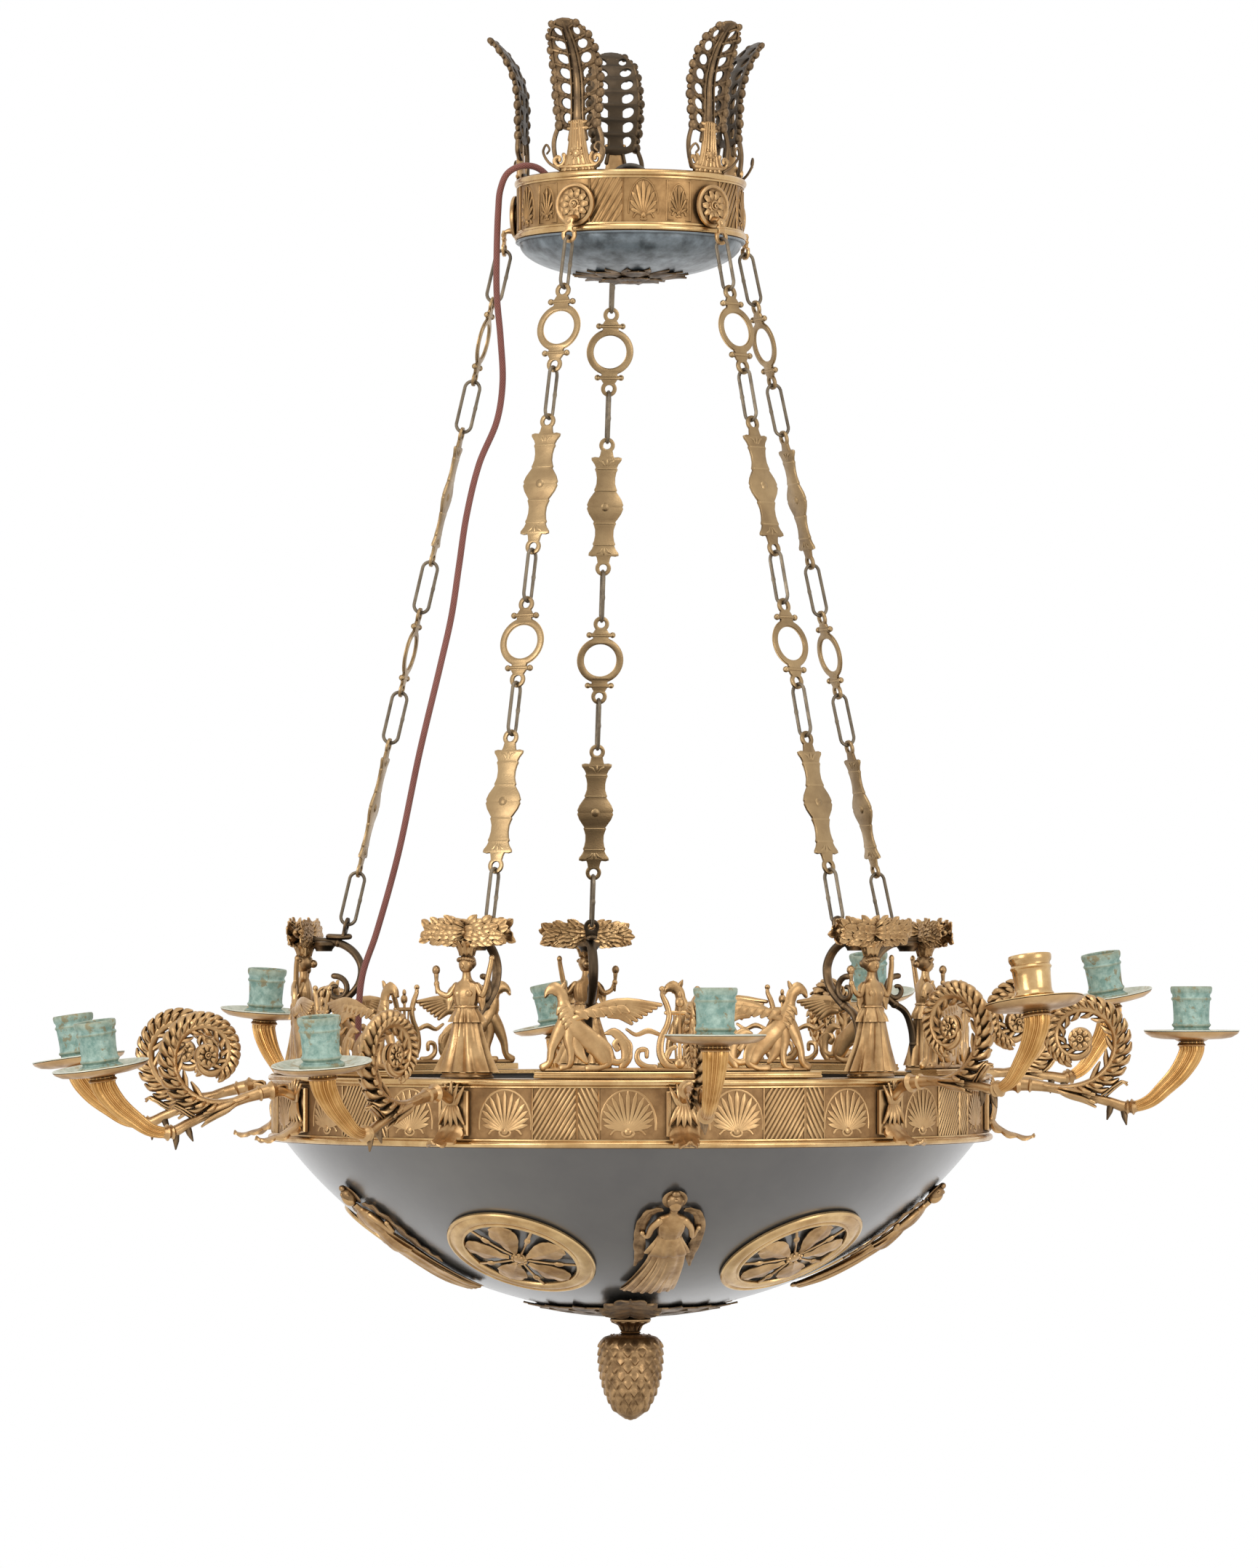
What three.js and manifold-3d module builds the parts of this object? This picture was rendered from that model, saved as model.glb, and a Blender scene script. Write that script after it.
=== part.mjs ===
// A ten-light chandelier of gilt and patinated bronze. A coronet with five palm fronds hangs on a ring.
// Five chains of wire links, ring links and baluster plates run from it to a dark metal bowl, whose gilt
// band carries five standing figures, five openwork galleries and ten candle arms.
// Millimetres, +Z up. The origin is the inner top of the suspension ring, where a ceiling hook bears.
// Azimuth 0 looks out along -Y, and azimuths grow towards +X.
import * as THREE from "three";
import { mergeVertices } from "three/addons/utils/BufferGeometryUtils.js";
import Module from "manifold-3d";

const wasm = await Module();
wasm.setup();

// Counts and clearances
const sectors = 5;
const armCount = 10;
const hoopFacets = 30;
const coronetFacets = 20;
const seatGap = 0.3;
const medallionGap = 1.4;
const linkBite = 0.7;
const lugSlack = 0.95;
const sliver = 0.15;

// Suspension ring and the eye that hangs in it
const ringRadius = 16;
const ringWire = 2.3;
const eyeRadius = 9;
const eyeWire = 2.5;

// Coronet
const coronetTop = -10;
const coronetHeight = 48;
const coronetRadius = 92;
const coronetBead = 2.7;
const coronetWall = 2.8;
const dishDepth = 29;
const dishWall = 1.6;
const rosetteRadius = 46;
const rodRadius = 4;
const rodClearance = 0.4;
const legWidth = 9;
const legThickness = 3.5;
const legDrop = 36.5;
const glandRadius = 5;

// Palm fronds
const frondStraight = 60;
const frondBendRadius = 70;
const frondBendAngle = 53;
const frondHalfWidth = 23;
const frondThickness = 3;
const frondLobes = 4;

// Roundels and chains
const roundelRadius = 17;
const roundelDrop = 27;
const hookRadius = coronetRadius + 10;
const hookDrop = 55;
const wirePitch = 38.5;
const ringPitch = 68;
const platePitch = 109;
const linkWire = 1.4;
const linkInnerWidth = 9.4;
const ringLinkRadius = 18.5;
const ringLinkBore = 14;
const flatLinkThickness = 2.4;
const linkEyeBore = linkWire * 2 + 0.4;
const linkEyeRadius = linkEyeBore * 2;

// Bowl and its band
const bandRadius = 286;
const bandHeight = 52;
const bandBead = 3.5;
const bandWall = 3;
const bandFlange = 34;
const bowlRimRadius = bandRadius - 13;
const bowlDepth = 136;
const bowlWall = 2;
const medallionCentre = 180;
const medallionRadius = 59;
const medallionThickness = 3;

// Figures, which set how far the bowl hangs under the chains
const lugAboveRim = 120.5;
const figureRadius = bandRadius - 22;
const lugRadius = figureRadius - 35;
const leafTopHalfWidth = 39;
const leafTopHeight = 22;
const leafTopFoot = lugAboveRim - 19.5;
const bracketTop = lugAboveRim - 12.5;

// Leaf plate, finial and the rod that holds them
const leafPlateRadius = 85;
const leafPlateThickness = 2.5;
const finialRadius = 26.5;
const finialCupRadius = 20;
const finialNeck = 16;
const finialHeight = 65;
const finialBore = 25;
const tieRodRadius = 5.2;
const washerRadius = 12;

// Arms and candle sockets. The sags are in degrees, positive with the pan low, one for each arm.
const armSag = [0, -9, 0, -10, -10, 0, -5, 8, 9, 7.5];
const armTurn = [0, 0, 0, 0, 0, 0, 0, 0, 0, -7];
const socketLean = [0, 0, 0, 0, 0, 11, 0, 0, 0, 0];
const armRootWidth = 26;
const armRootHeight = 34;
const armRootThickness = 3.5;
const scrollRosette = 9.5;
const panRadius = 37.5;
const panHeight = 8;
const nozzleRadius = 15.5;
const nozzleBore = nozzleRadius - 3;
const nozzleHeight = 37;
const nozzleDepth = 22;

// Flex cord, as [azimuth, radius, height] points chosen by hand from its gland in the coronet, over the
// rim, down beside a chain and across the bowl's floor to the gland on the tie rod
const cordRadius = 2.6;
const cordSteps = 76;
const cordRoute = [
  [268, 62, -39.7], [268, 62, -30], [268, 62.5, -18], [268, 67, -6], [268, 76, 0.5], [268, 88, 0.8],
  [267.5, 98, -5], [267, 103.5, -18], [266, 105, -34], [264, 106, -65], [262, 106, -100],
  [261, 103, -135], [260, 101.5, -170], [260, 106, -200], [260, 120, -234], [260, 130, -275],
  [260, 136, -315], [260, 142, -355], [260, 151, -395], [261, 167, -463], [261, 184, -544],
  [262, 201, -606], [263, 212, -640], [263, 215, -680], [263, 213, -730], [262, 205, -780],
  [261, 185, -823], [261, 158, -849.5], [261, 127, -871], [261, 100, -883.5], [261, 77, -888],
  [261, 60, -886], [261, 48, -877], [261, 42.5, -862], [261, 38, -848], [261, 29, -839.5],
  [261, 17, -838.5], [261, 6, -845], [261, 0.8, -855], [261, 0, -864],
];

// Finishes: colour, roughness and metalness
const finishes = {
  gilt: [0xb98a45, 0.38, 0.9],
  darkBronze: [0x6b4f35, 0.5, 0.8],
  iron: [0x5a5148, 0.6, 0.7],
  bowlGrey: [0x5a5c60, 0.45, 0.6],
  dishGrey: [0x49545c, 0.5, 0.5],
  verdigris: [0x7fb3a6, 0.75, 0.2],
  flex: [0x8a5148, 0.85, 0],
};

const degrees = THREE.MathUtils.degToRad;
const chandelier = new THREE.Group();

// A closed geometry as a solid that can be joined and cut.
function solid(geometry) {
  const bare = new THREE.BufferGeometry();
  const flat = geometry.index ? geometry.toNonIndexed() : geometry;
  bare.setAttribute("position", flat.getAttribute("position"));
  const merged = mergeVertices(bare, 1e-4);
  const corners = merged.index.array;
  const kept = [];
  for (let i = 0; i < corners.length; i += 3) {
    const [a, b, c] = corners.slice(i, i + 3);
    if (a !== b && b !== c && c !== a) kept.push(a, b, c);
  }
  const vertProperties = new Float32Array(merged.attributes.position.array);
  return new wasm.Manifold(new wasm.Mesh({ numProp: 3, vertProperties, triVerts: new Uint32Array(kept) }));
}

// Joins closed geometries, and drops the slivers that the joining leaves.
function joined(geometries) {
  return geometries.map(solid).reduce((all, next) => all.add(next)).simplify(sliver);
}

// Adds one named piece to a group, with a finish of its own.
function addPiece(parent, name, body, finish) {
  const made = body.getMesh();
  const geometry = new THREE.BufferGeometry();
  geometry.setAttribute("position", new THREE.BufferAttribute(made.vertProperties, 3));
  geometry.setIndex(new THREE.BufferAttribute(made.triVerts, 1));
  geometry.computeVertexNormals();
  const [color, roughness, metalness] = finishes[finish];
  const mesh = new THREE.Mesh(geometry, new THREE.MeshStandardMaterial({ color, roughness, metalness }));
  mesh.name = name;
  parent.add(mesh);
  return mesh;
}

// A group whose own -Y looks out at an azimuth.
function atAzimuth(angle) {
  const group = new THREE.Group();
  group.rotation.z = degrees(angle);
  chandelier.add(group);
  return group;
}

// A profile of [radius, height] pairs turned round +Z. It starts and ends on the axis, or closes on
// itself. A facet, not a corner, faces azimuth 0.
function turned(profile, facets) {
  const doubleArea = profile.reduce((sum, [r, z], i) => {
    const [nextR, nextZ] = profile[(i + 1) % profile.length];
    return sum + r * nextZ - nextR * z;
  }, 0);
  const ordered = doubleArea > 0 ? profile : [...profile].reverse();
  const points = ordered.map(([r, z]) => new THREE.Vector2(r, z));
  if (points[0].x > 0) points.push(points[0].clone());
  return new THREE.LatheGeometry(points, facets, Math.PI / facets).rotateX(Math.PI / 2);
}

// How far from the axis a facet's middle lies, on a hoop whose corners have this radius.
function facetRadius(radius, facets) {
  return radius * Math.cos(Math.PI / facets);
}

// Moves each corner of a geometry from [x, y, z] to where place puts it.
function reshaped(geometry, place) {
  const position = geometry.getAttribute("position");
  for (let i = 0; i < position.count; i++) {
    position.setXYZ(i, ...place(position.getX(i), position.getY(i), position.getZ(i)));
  }
  return geometry;
}

// A flat outline of [x, y] points with holes, given its thickness along +Z.
function plate(outline, holes, thickness) {
  const vectors = (points) => points.map(([x, y]) => new THREE.Vector2(x, y));
  const shape = new THREE.Shape(vectors(outline));
  shape.holes = holes.map((hole) => new THREE.Path(vectors(hole)));
  return new THREE.ExtrudeGeometry(shape, { depth: thickness, bevelEnabled: false });
}

// The right half of an outline, from its lowest point to its highest, with the left half added.
function mirrored(half) {
  const left = half.filter(([x]) => x > 0).map(([x, y]) => [-x, y]);
  return [...half, ...left.reverse()];
}

function ringOfPoints(radius, count, centreY = 0) {
  return Array.from({ length: count }, (_, i) => {
    const angle = ((i + 0.5) * 2 * Math.PI) / count;
    return [radius * Math.cos(angle), centreY + radius * Math.sin(angle)];
  });
}

// A hole's corners, whose flats lie at the radius.
function boreOf(radius, count, centreY = 0) {
  return ringOfPoints(radius / Math.cos(Math.PI / count), count, centreY);
}

function block(width, depth, height, centre) {
  return new THREE.BoxGeometry(width, depth, height).translate(...centre);
}

// A skin over rings of points, all of one count, closed flat at both ends.
function loft(rings) {
  const sides = rings[0].length;
  const last = (rings.length - 1) * sides;
  const faces = [];
  for (let i = 0; i < last; i += sides) {
    for (let j = 0; j < sides; j++) {
      const a = i + j;
      const b = i + ((j + 1) % sides);
      faces.push(a, b, a + sides, b, b + sides, a + sides);
    }
  }
  for (let j = 1; j < sides - 1; j++) {
    faces.push(0, j + 1, j, last, last + j, last + j + 1);
  }
  const geometry = new THREE.BufferGeometry().setFromPoints(rings.flat());
  geometry.setIndex(faces);
  return geometry;
}

// A bar along a curve in the plane square to +X. halves(t) gives its half width along X and its half
// depth in the plane, at the share t of its length.
function bar(curve, steps, sides, halves) {
  const across = new THREE.Vector3(1, 0, 0);
  const rings = [];
  for (let i = 0; i <= steps; i++) {
    const centre = curve.getPointAt(i / steps);
    const inPlane = new THREE.Vector3().crossVectors(curve.getTangentAt(i / steps), across);
    const [halfWidth, halfDepth] = halves(i / steps);
    rings.push(Array.from({ length: sides }, (_, j) => {
      const angle = ((j + 0.5) * 2 * Math.PI) / sides;
      return centre.clone()
        .addScaledVector(across, halfWidth * Math.cos(angle))
        .addScaledVector(inPlane, halfDepth * Math.sin(angle));
    }));
  }
  return loft(rings);
}

// A smooth curve through [out, up] points of the plane that looks out along -Y.
function curveOut(points) {
  return new THREE.CatmullRomCurve3(points.map(([out, up]) => new THREE.Vector3(0, -out, up)));
}

// The value at a share t, on straight stretches between [share, value] stops.
function along(stops, t) {
  const next = stops.findIndex(([share]) => share >= t);
  if (next <= 0) return stops[0][1];
  const [lowShare, low] = stops[next - 1];
  const [highShare, high] = stops[next];
  return low + ((high - low) * (t - lowShare)) / (highShare - lowShare);
}

// The height of a line through [radius, height] points, at one radius.
function heightAt(points, radius) {
  return along([...points].sort((a, b) => a[0] - b[0]), radius);
}

// A hoop with a bead round its top and its bottom edge, and a flange inwards from its top if asked.
function hoopProfile({ radius, bead, wall, top, height, flange }) {
  const beadHeight = 5;
  const slope = 1.5;
  const field = radius - bead;
  const inner = field - wall;
  const bottom = top - height;
  const outside = [
    [inner, bottom], [radius, bottom], [radius, bottom + beadHeight], [field, bottom + beadHeight + slope],
    [field, top - beadHeight - slope], [radius, top - beadHeight], [radius, top],
  ];
  const inside = flange
    ? [[radius - flange, top], [radius - flange, top - wall], [inner, top - wall]]
    : [[inner, top]];
  return [...outside, ...inside];
}

// The ring is a root of its own: the hook holds it, and the eye swings on its lowest wire.
const ringCentre = ringWire - ringRadius;
const ringGeometry = new THREE.TorusGeometry(ringRadius, ringWire, 6, 12)
  .rotateX(Math.PI / 2)
  .translate(0, 0, ringCentre);
addPiece(chandelier, "suspension_ring", solid(ringGeometry), "iron");

// Coronet: band, dish with its leaf rosette, and the iron spider inside
const coronetBottom = coronetTop - coronetHeight;
const coronetField = coronetRadius - coronetBead;
const coronetInner = facetRadius(coronetField - coronetWall, coronetFacets);
const coronetProfile = hoopProfile({
  radius: coronetRadius,
  bead: coronetBead,
  wall: coronetWall,
  top: coronetTop,
  height: coronetHeight,
  flange: 0,
});
addPiece(chandelier, "coronet_band", solid(turned(coronetProfile, coronetFacets)), "gilt");

// The dish hangs under the band as half of an ellipse, open on the spider's rod.
function dishCurve(radius, depth, from, steps) {
  const bore = rodRadius + rodClearance;
  const last = Math.acos(bore / radius);
  return Array.from({ length: steps + 1 }, (_, i) => {
    const angle = (last * i) / steps;
    return [radius * Math.cos(angle), from - depth * Math.sin(angle)];
  });
}

const dishTop = coronetBottom - seatGap;
const dishRim = coronetRadius - 1;
const dishRadius = coronetRadius - 4;
const dishLowEdge = dishTop - dishWall;
const dishOuter = dishCurve(dishRadius, dishDepth - dishWall, dishLowEdge, 5);
const rosetteTips = 8;
const rosetteNotch = 0.86;

// A turned piece whose rim's corners lie on the tips and on the notches of its leaves by turns. Corners
// stand at whole or half numbers of a facet, so a quarter less rounds each of them the same way.
function leafEdged(disc, tips, rim, notch) {
  return reshaped(disc, (x, y, z) => {
    const radius = Math.hypot(x, y);
    const turns = (Math.atan2(y, x) / Math.PI) * tips;
    const corner = Math.round(turns - 0.25);
    const scale = radius > rim * 0.8 && corner % 2 === 0 ? notch / rim : 1;
    return [x * scale, y * scale, z];
  });
}

function coronetDish() {
  const inner = dishCurve(dishRadius - dishWall, dishDepth - 2 * dishWall, dishLowEdge, 3).reverse();
  return solid(turned([[dishRim, dishTop], [dishRim, dishLowEdge], ...dishOuter, ...inner,
    [dishRadius - dishWall, dishTop]], coronetFacets));
}
addPiece(chandelier, "coronet_dish", coronetDish(), "dishGrey");

// The spider's eye stands square to the ring, its legs press on the band behind the roundels, and the
// leaf rosette screwed on its rod holds the dish up.
const eyeCentre = ringCentre - ringRadius + ringWire + seatGap + eyeWire - eyeRadius;
const legTop = coronetTop - legDrop;
const cordSector = 3;
const cordGlandTop = cordRoute[0][2] - seatGap;

function coronetSpider() {
  const eye = new THREE.TorusGeometry(eyeRadius, eyeWire, 6, 8)
    .rotateY(Math.PI / 2)
    .translate(0, 0, eyeCentre);
  const [lowestRadius, lowest] = dishOuter.at(-1);
  const [middleRadius, middle] = dishOuter.at(-2);
  const edge = heightAt(dishOuter, rosetteRadius * rosetteNotch);
  const hub = turned([[0, legTop + 3], [8, legTop + 1], [8, legTop - legThickness - 1],
    [rodRadius, legTop - legThickness - 1], [rodRadius, lowest - 2], [0, lowest - 2]], 8);
  const rosetteProfile = [[0, lowest - seatGap], [lowestRadius, lowest - seatGap],
    [middleRadius, middle - seatGap], [rosetteRadius, edge - seatGap], [rosetteRadius, edge - 2],
    [middleRadius, lowest - 3], [0, lowest - 3]];
  const rosette = turned(rosetteProfile, rosetteTips * 2);
  const legEnd = coronetInner - seatGap;
  const legs = [];
  for (let i = 0; i < sectors; i++) {
    const leg = [
      block(legWidth, legEnd - 4, legThickness, [0, -(legEnd + 4) / 2, legTop - legThickness / 2]),
      block(legWidth, 2.5, 16, [0, -legEnd + 1.25, legTop + 8 - legThickness]),
    ];
    legs.push(...leg.map((piece) => piece.rotateZ(degrees(36 + (i * 360) / sectors))));
  }
  const [glandAzimuth, glandOut] = cordRoute[0];
  const glandOffset = degrees(glandAzimuth - 36 - cordSector * 72);
  const glandX = glandOut * Math.sin(glandOffset);
  const glandY = -glandOut * Math.cos(glandOffset);
  const glandHeight = cordGlandTop - legTop + legThickness;
  const gland = new THREE.CylinderGeometry(glandRadius, glandRadius, glandHeight, 8)
    .rotateX(Math.PI / 2)
    .translate(glandX, glandY, cordGlandTop - glandHeight / 2);
  const glandTab = block(glandX + 4, legWidth, legThickness, [glandX / 2, glandY, legTop - legThickness / 2]);
  const turn = degrees(36 + cordSector * 72);
  const leaves = leafEdged(rosette, rosetteTips, rosetteRadius, rosetteRadius * rosetteNotch);
  return joined([eye, hub, leaves, ...legs, gland.rotateZ(turn), glandTab.rotateZ(turn)]);
}
addPiece(chandelier, "coronet_spider", coronetSpider(), "iron");

// A palm frond is drawn flat, [across, along], and then bent: upright first, then curling out.
function frondOutline() {
  const leafStart = 38;
  const length = frondStraight + frondBendRadius * degrees(frondBendAngle);
  const share = (s) => (s - leafStart) / (length - leafStart);
  const widthAt = (s) => frondHalfWidth * Math.sin(Math.PI * (0.28 + 0.6 * share(s)));
  const half = [[0, 0], [14, 0], [20, 14], [20, 26], [15.5, leafStart]];
  const lobe = (length - 8 - leafStart) / frondLobes;
  for (let i = 0; i < frondLobes; i++) {
    const low = leafStart + i * lobe;
    half.push([widthAt(low + lobe * 0.5), low + lobe * 0.5]);
    half.push([widthAt(low + lobe) - 3, low + lobe]);
  }
  half.push([5, length]);
  const sideSlot = [[6, 8], [14, 10], [16, 26], [5, 29]];
  const holes = [sideSlot, sideSlot.map(([x, y]) => [-x, y])];
  for (let i = 0; i < 2; i++) {
    const low = leafStart + 6 + i * 34;
    const high = low + 26;
    const slot = [[3, low], [widthAt(low) - 8, low + 3], [widthAt(high) - 8, high], [3, high - 3]];
    holes.push(slot, slot.map(([x, y]) => [-x, y]));
  }
  return [mirrored(half), holes];
}

function frond() {
  const back = coronetInner;
  const foot = coronetTop + seatGap;
  const [outline, holes] = frondOutline();
  const leaf = reshaped(plate(outline, holes, frondThickness), (x, s, w) => {
    const angle = Math.max(0, s - frondStraight) / frondBendRadius;
    const rise = Math.min(s, frondStraight) + frondBendRadius * Math.sin(angle);
    const out = back + frondBendRadius * (1 - Math.cos(angle)) + w * Math.cos(angle);
    return [x, -out, foot + rise - w * Math.sin(angle)];
  });
  const tabHeight = 14;
  const tabThickness = 2.5;
  const tab = block(18, tabThickness, tabHeight + 4,
    [0, -(back - seatGap - tabThickness / 2), foot - tabHeight / 2 + 2]);
  const root = block(18, tabThickness + 2, 4, [0, -(back - seatGap - tabThickness / 2 + 1), foot + 2]);
  return joined([leaf, tab, root]);
}

// A flat chain piece hangs in the plane of X and Z, with an eye at each end. Its half outline is given
// for the upper half and mirrored to the lower.
function flatLink(pitch, upperHalf, bore) {
  const eyeCentreY = pitch / 2 - linkBite - linkEyeBore;
  const quarter = [...upperHalf, [linkEyeRadius * 0.8, eyeCentreY + linkEyeRadius * 0.85]];
  const lower = quarter.filter(([, y]) => y > 0).map(([x, y]) => [x, -y]).reverse();
  const holes = [boreOf(linkEyeBore, 4, eyeCentreY), boreOf(linkEyeBore, 4, -eyeCentreY)];
  if (bore) holes.push(ringOfPoints(bore, 8));
  return plate(mirrored([...lower, ...quarter]), holes, flatLinkThickness)
    .translate(0, 0, -flatLinkThickness / 2)
    .rotateX(Math.PI / 2);
}

function ringLink() {
  const collar = ringPitch / 2 - 11;
  return flatLink(ringPitch, [[ringLinkRadius, 0], [ringLinkRadius * 0.71, ringLinkRadius * 0.71],
    [4.5, ringLinkRadius - 0.5], [9, collar]], ringLinkBore);
}

function balusterLink() {
  const shoulder = platePitch / 2 - 18;
  return flatLink(platePitch, [[13.5, 0], [6, 10], [11, shoulder]], 0);
}

// A wire link hangs in the plane of Y and Z, between two heights of its inner ends.
function wireLink(innerTop, innerBottom) {
  const facets = 8;
  const radius = linkInnerWidth / 2 / Math.cos(Math.PI / facets) + linkWire;
  const straight = innerTop - innerBottom - linkInnerWidth;
  const torus = new THREE.TorusGeometry(radius, linkWire, 4, facets).rotateZ(Math.PI / facets);
  return reshaped(torus, (x, y, z) => [x, y + (Math.sign(y) * straight) / 2, z])
    .rotateX(Math.PI / 2)
    .rotateZ(Math.PI / 2)
    .translate(0, 0, (innerTop + innerBottom) / 2);
}

const chainOrder = ["wire", "ring", "wire", "plate", "wire", "ring", "wire", "plate", "wire"];
const pitches = { wire: wirePitch, ring: ringPitch, plate: platePitch };
const chainLength = chainOrder.reduce((sum, kind) => sum + pitches[kind], 0);
const chainSlope = Math.asin((lugRadius - hookRadius) / chainLength);
const hookHeight = coronetTop - hookDrop;
const lugHeight = hookHeight - chainLength * Math.cos(chainSlope);

// The chain hangs down -Z from the hook. Its links are one piece where they bear on each other, and it
// is loose in the hook's eye and in the lug's.
function chain() {
  const pieces = [];
  let height = 0;
  chainOrder.forEach((kind, i) => {
    const lower = height - pitches[kind];
    if (kind === "wire") {
      const top = i === 0 ? seatGap : height;
      const bottom = i === chainOrder.length - 1 ? lower - lugSlack : lower;
      pieces.push(wireLink(top, bottom));
    } else {
      const link = kind === "ring" ? ringLink() : balusterLink();
      pieces.push(link.translate(0, 0, (height + lower) / 2));
    }
    height = lower;
  });
  return joined(pieces);
}

// A flat eye whose hole's edge bears at height 0: below the hole for a hook, above it for a lug.
function eyePlate(halfWidth, neckHeight, holeSide) {
  const centre = linkEyeBore * holeSide;
  const neck = neckHeight * (holeSide > 0 ? 1 : -1);
  const tip = centre - linkEyeRadius * 0.8 * holeSide;
  const tipHalfWidth = linkEyeRadius * 0.6;
  const outline = [[-halfWidth, neck], [-linkEyeRadius, centre], [-tipHalfWidth, tip],
    [tipHalfWidth, tip], [linkEyeRadius, centre], [halfWidth, neck]];
  return plate(outline, [boreOf(linkEyeBore, 6, centre)], flatLinkThickness)
    .translate(0, 0, -flatLinkThickness / 2)
    .rotateX(Math.PI / 2);
}

function roundelHook() {
  const back = facetRadius(coronetField, coronetFacets) + seatGap;
  const face = facetRadius(coronetRadius, coronetFacets) + seatGap;
  const disc = turned([[0, back], [10, back], [10, face], [roundelRadius, face], [roundelRadius, face + 3],
    [8, face + 4], [0, face + 9]], 8)
    .rotateX(Math.PI / 2)
    .translate(0, 0, coronetTop - roundelDrop);
  const neckTop = 16;
  const strap = eyePlate(5, neckTop, 1).translate(0, -hookRadius, hookHeight);
  const neckDepth = hookRadius + flatLinkThickness / 2 - face;
  const neck = block(9, neckDepth, 9, [0, -face - neckDepth / 2, hookHeight + neckTop - 1]);
  return joined([disc, strap, neck]);
}

// Figures stand on the band's flange. Body rings: height, half width, half depth.
const rimTop = lugHeight - lugAboveRim;
const bodyRings = [[4, 19, 13], [57, 7.5, 6.5], [70, 11, 6.5], [80, 7, 5], [84, 3, 3], [88, 3, 3]];
const headRadius = 7;
const headHeight = 92;

function ellipseRing(height, halfWidth, halfDepth, sides) {
  return Array.from({ length: sides }, (_, j) => {
    const angle = ((j + 0.5) * 2 * Math.PI) / sides;
    return new THREE.Vector3(halfWidth * Math.cos(angle), halfDepth * Math.sin(angle), height);
  });
}

// A round bar between two points.
function rod(from, to, radius, sides) {
  const start = new THREE.Vector3(...from);
  const span = new THREE.Vector3(...to).sub(start);
  const upright = new THREE.Vector3(0, 1, 0);
  const turn = new THREE.Quaternion().setFromUnitVectors(upright, span.clone().normalize());
  return new THREE.CylinderGeometry(radius, radius, span.length(), sides)
    .applyQuaternion(turn)
    .translate(...start.addScaledVector(span, 0.5));
}

function leafyTop() {
  const top = leafTopFoot + leafTopHeight;
  const half = [[0, leafTopFoot - 1], [leafTopHalfWidth, leafTopFoot + 7], [leafTopHalfWidth, top - 7],
    [20, top - 4], [10, top], [0, top - 2]];
  return plate(mirrored(half), [], 12).rotateX(Math.PI / 2).translate(0, 6, 0);
}

function figure() {
  const person = [
    block(38, 27, 5.2, [0, 0, 2.6]),
    loft(bodyRings.map(([height, halfWidth, halfDepth]) => ellipseRing(height, halfWidth, halfDepth, 6))),
    new THREE.SphereGeometry(headRadius, 5, 4).rotateX(Math.PI / 2).translate(0, 0, headHeight),
    leafyTop(),
  ];
  for (const side of [-1, 1]) {
    person.push(rod([side * 8, 0, 76], [side * 20, -2, leafTopFoot + 5], 2.4, 4));
  }
  const standing = person.map((piece) => piece.translate(0, -figureRadius, rimTop + seatGap));
  const heel = rimTop + seatGap;
  const bracketPath = [[8, 3], [20, 30], [40, 50], [48, 74], [40, bracketTop - 10], [26, bracketTop],
    [6, bracketTop - 2]];
  const bracketCurve = curveOut(bracketPath.map(([inward, up]) => [figureRadius - inward, heel + up]));
  const bracket = bar(bracketCurve, 8, 4, () => [3.2, 2.8]);
  const lug = eyePlate(5, 12, -1)
    .rotateX(-chainSlope)
    .translate(0, -lugRadius, lugHeight);
  const lugArm = block(8, 16, 5, [0, -lugRadius - 7, lugHeight - 12]);
  return joined([...standing, bracket, lug, lugArm]);
}

// A gallery is drawn flat, [along the rim, up], bent round the rim, and stands on a curved step.
const galleryHalfAngle = 23;
const galleryRadius = bandRadius - 20;
const galleryThickness = 4;
const stepHeight = 5;

function gallery() {
  const foot = rimTop + seatGap;
  const reach = galleryRadius * degrees(galleryHalfAngle);
  const half = [[0, 2], [reach * 0.98, 3], [reach * 0.96, 13], [reach * 0.74, 34], [reach * 0.94, 47],
    [reach * 0.66, 59], [reach * 0.2, 52], [12.5, 68], [0, 56]];
  const openings = [
    [[0.17, 13], [0.4, 11], [0.38, 39], [0.2, 42]],
    [[0.48, 10], [0.78, 12], [0.6, 39], [0.47, 42]],
  ];
  const holes = [];
  for (const opening of openings) {
    holes.push(opening.map(([share, height]) => [share * reach, height]));
    holes.push(opening.map(([share, height]) => [-share * reach, height]));
  }
  const panel = reshaped(plate(mirrored(half), holes, galleryThickness), (u, height, w) => {
    const angle = u / galleryRadius;
    const out = galleryRadius + w - galleryThickness / 2;
    return [out * Math.sin(angle), -out * Math.cos(angle), foot + height];
  });
  const stepPoints = [];
  for (const [radius, direction] of [[galleryRadius + 15, 1], [galleryRadius - 8, -1]]) {
    for (let i = -2; i <= 2; i++) {
      const angle = degrees((galleryHalfAngle * i * direction) / 2);
      stepPoints.push([radius * Math.sin(angle), -radius * Math.cos(angle)]);
    }
  }
  const step = plate(stepPoints, [], stepHeight).translate(0, 0, foot);
  return joined([step, panel]);
}

// Bowl: a cap of a sphere under an upright wall that seats in the band
const bandBottom = rimTop - bandHeight;
const bandField = bandRadius - bandBead;
const sphereRadius = (bowlRimRadius ** 2 + bowlDepth ** 2) / (2 * bowlDepth);
const sphereCentre = bandBottom - bowlDepth + sphereRadius;

// Points down a sphere's meridian, from its rim to a radius near the axis.
function meridian(radius, rim, last, steps) {
  const start = Math.asin(rim / radius);
  const end = Math.asin(last / radius);
  return Array.from({ length: steps + 1 }, (_, i) => {
    const angle = start + ((end - start) * i) / steps;
    return [radius * Math.sin(angle), sphereCentre - radius * Math.cos(angle)];
  });
}

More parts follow.
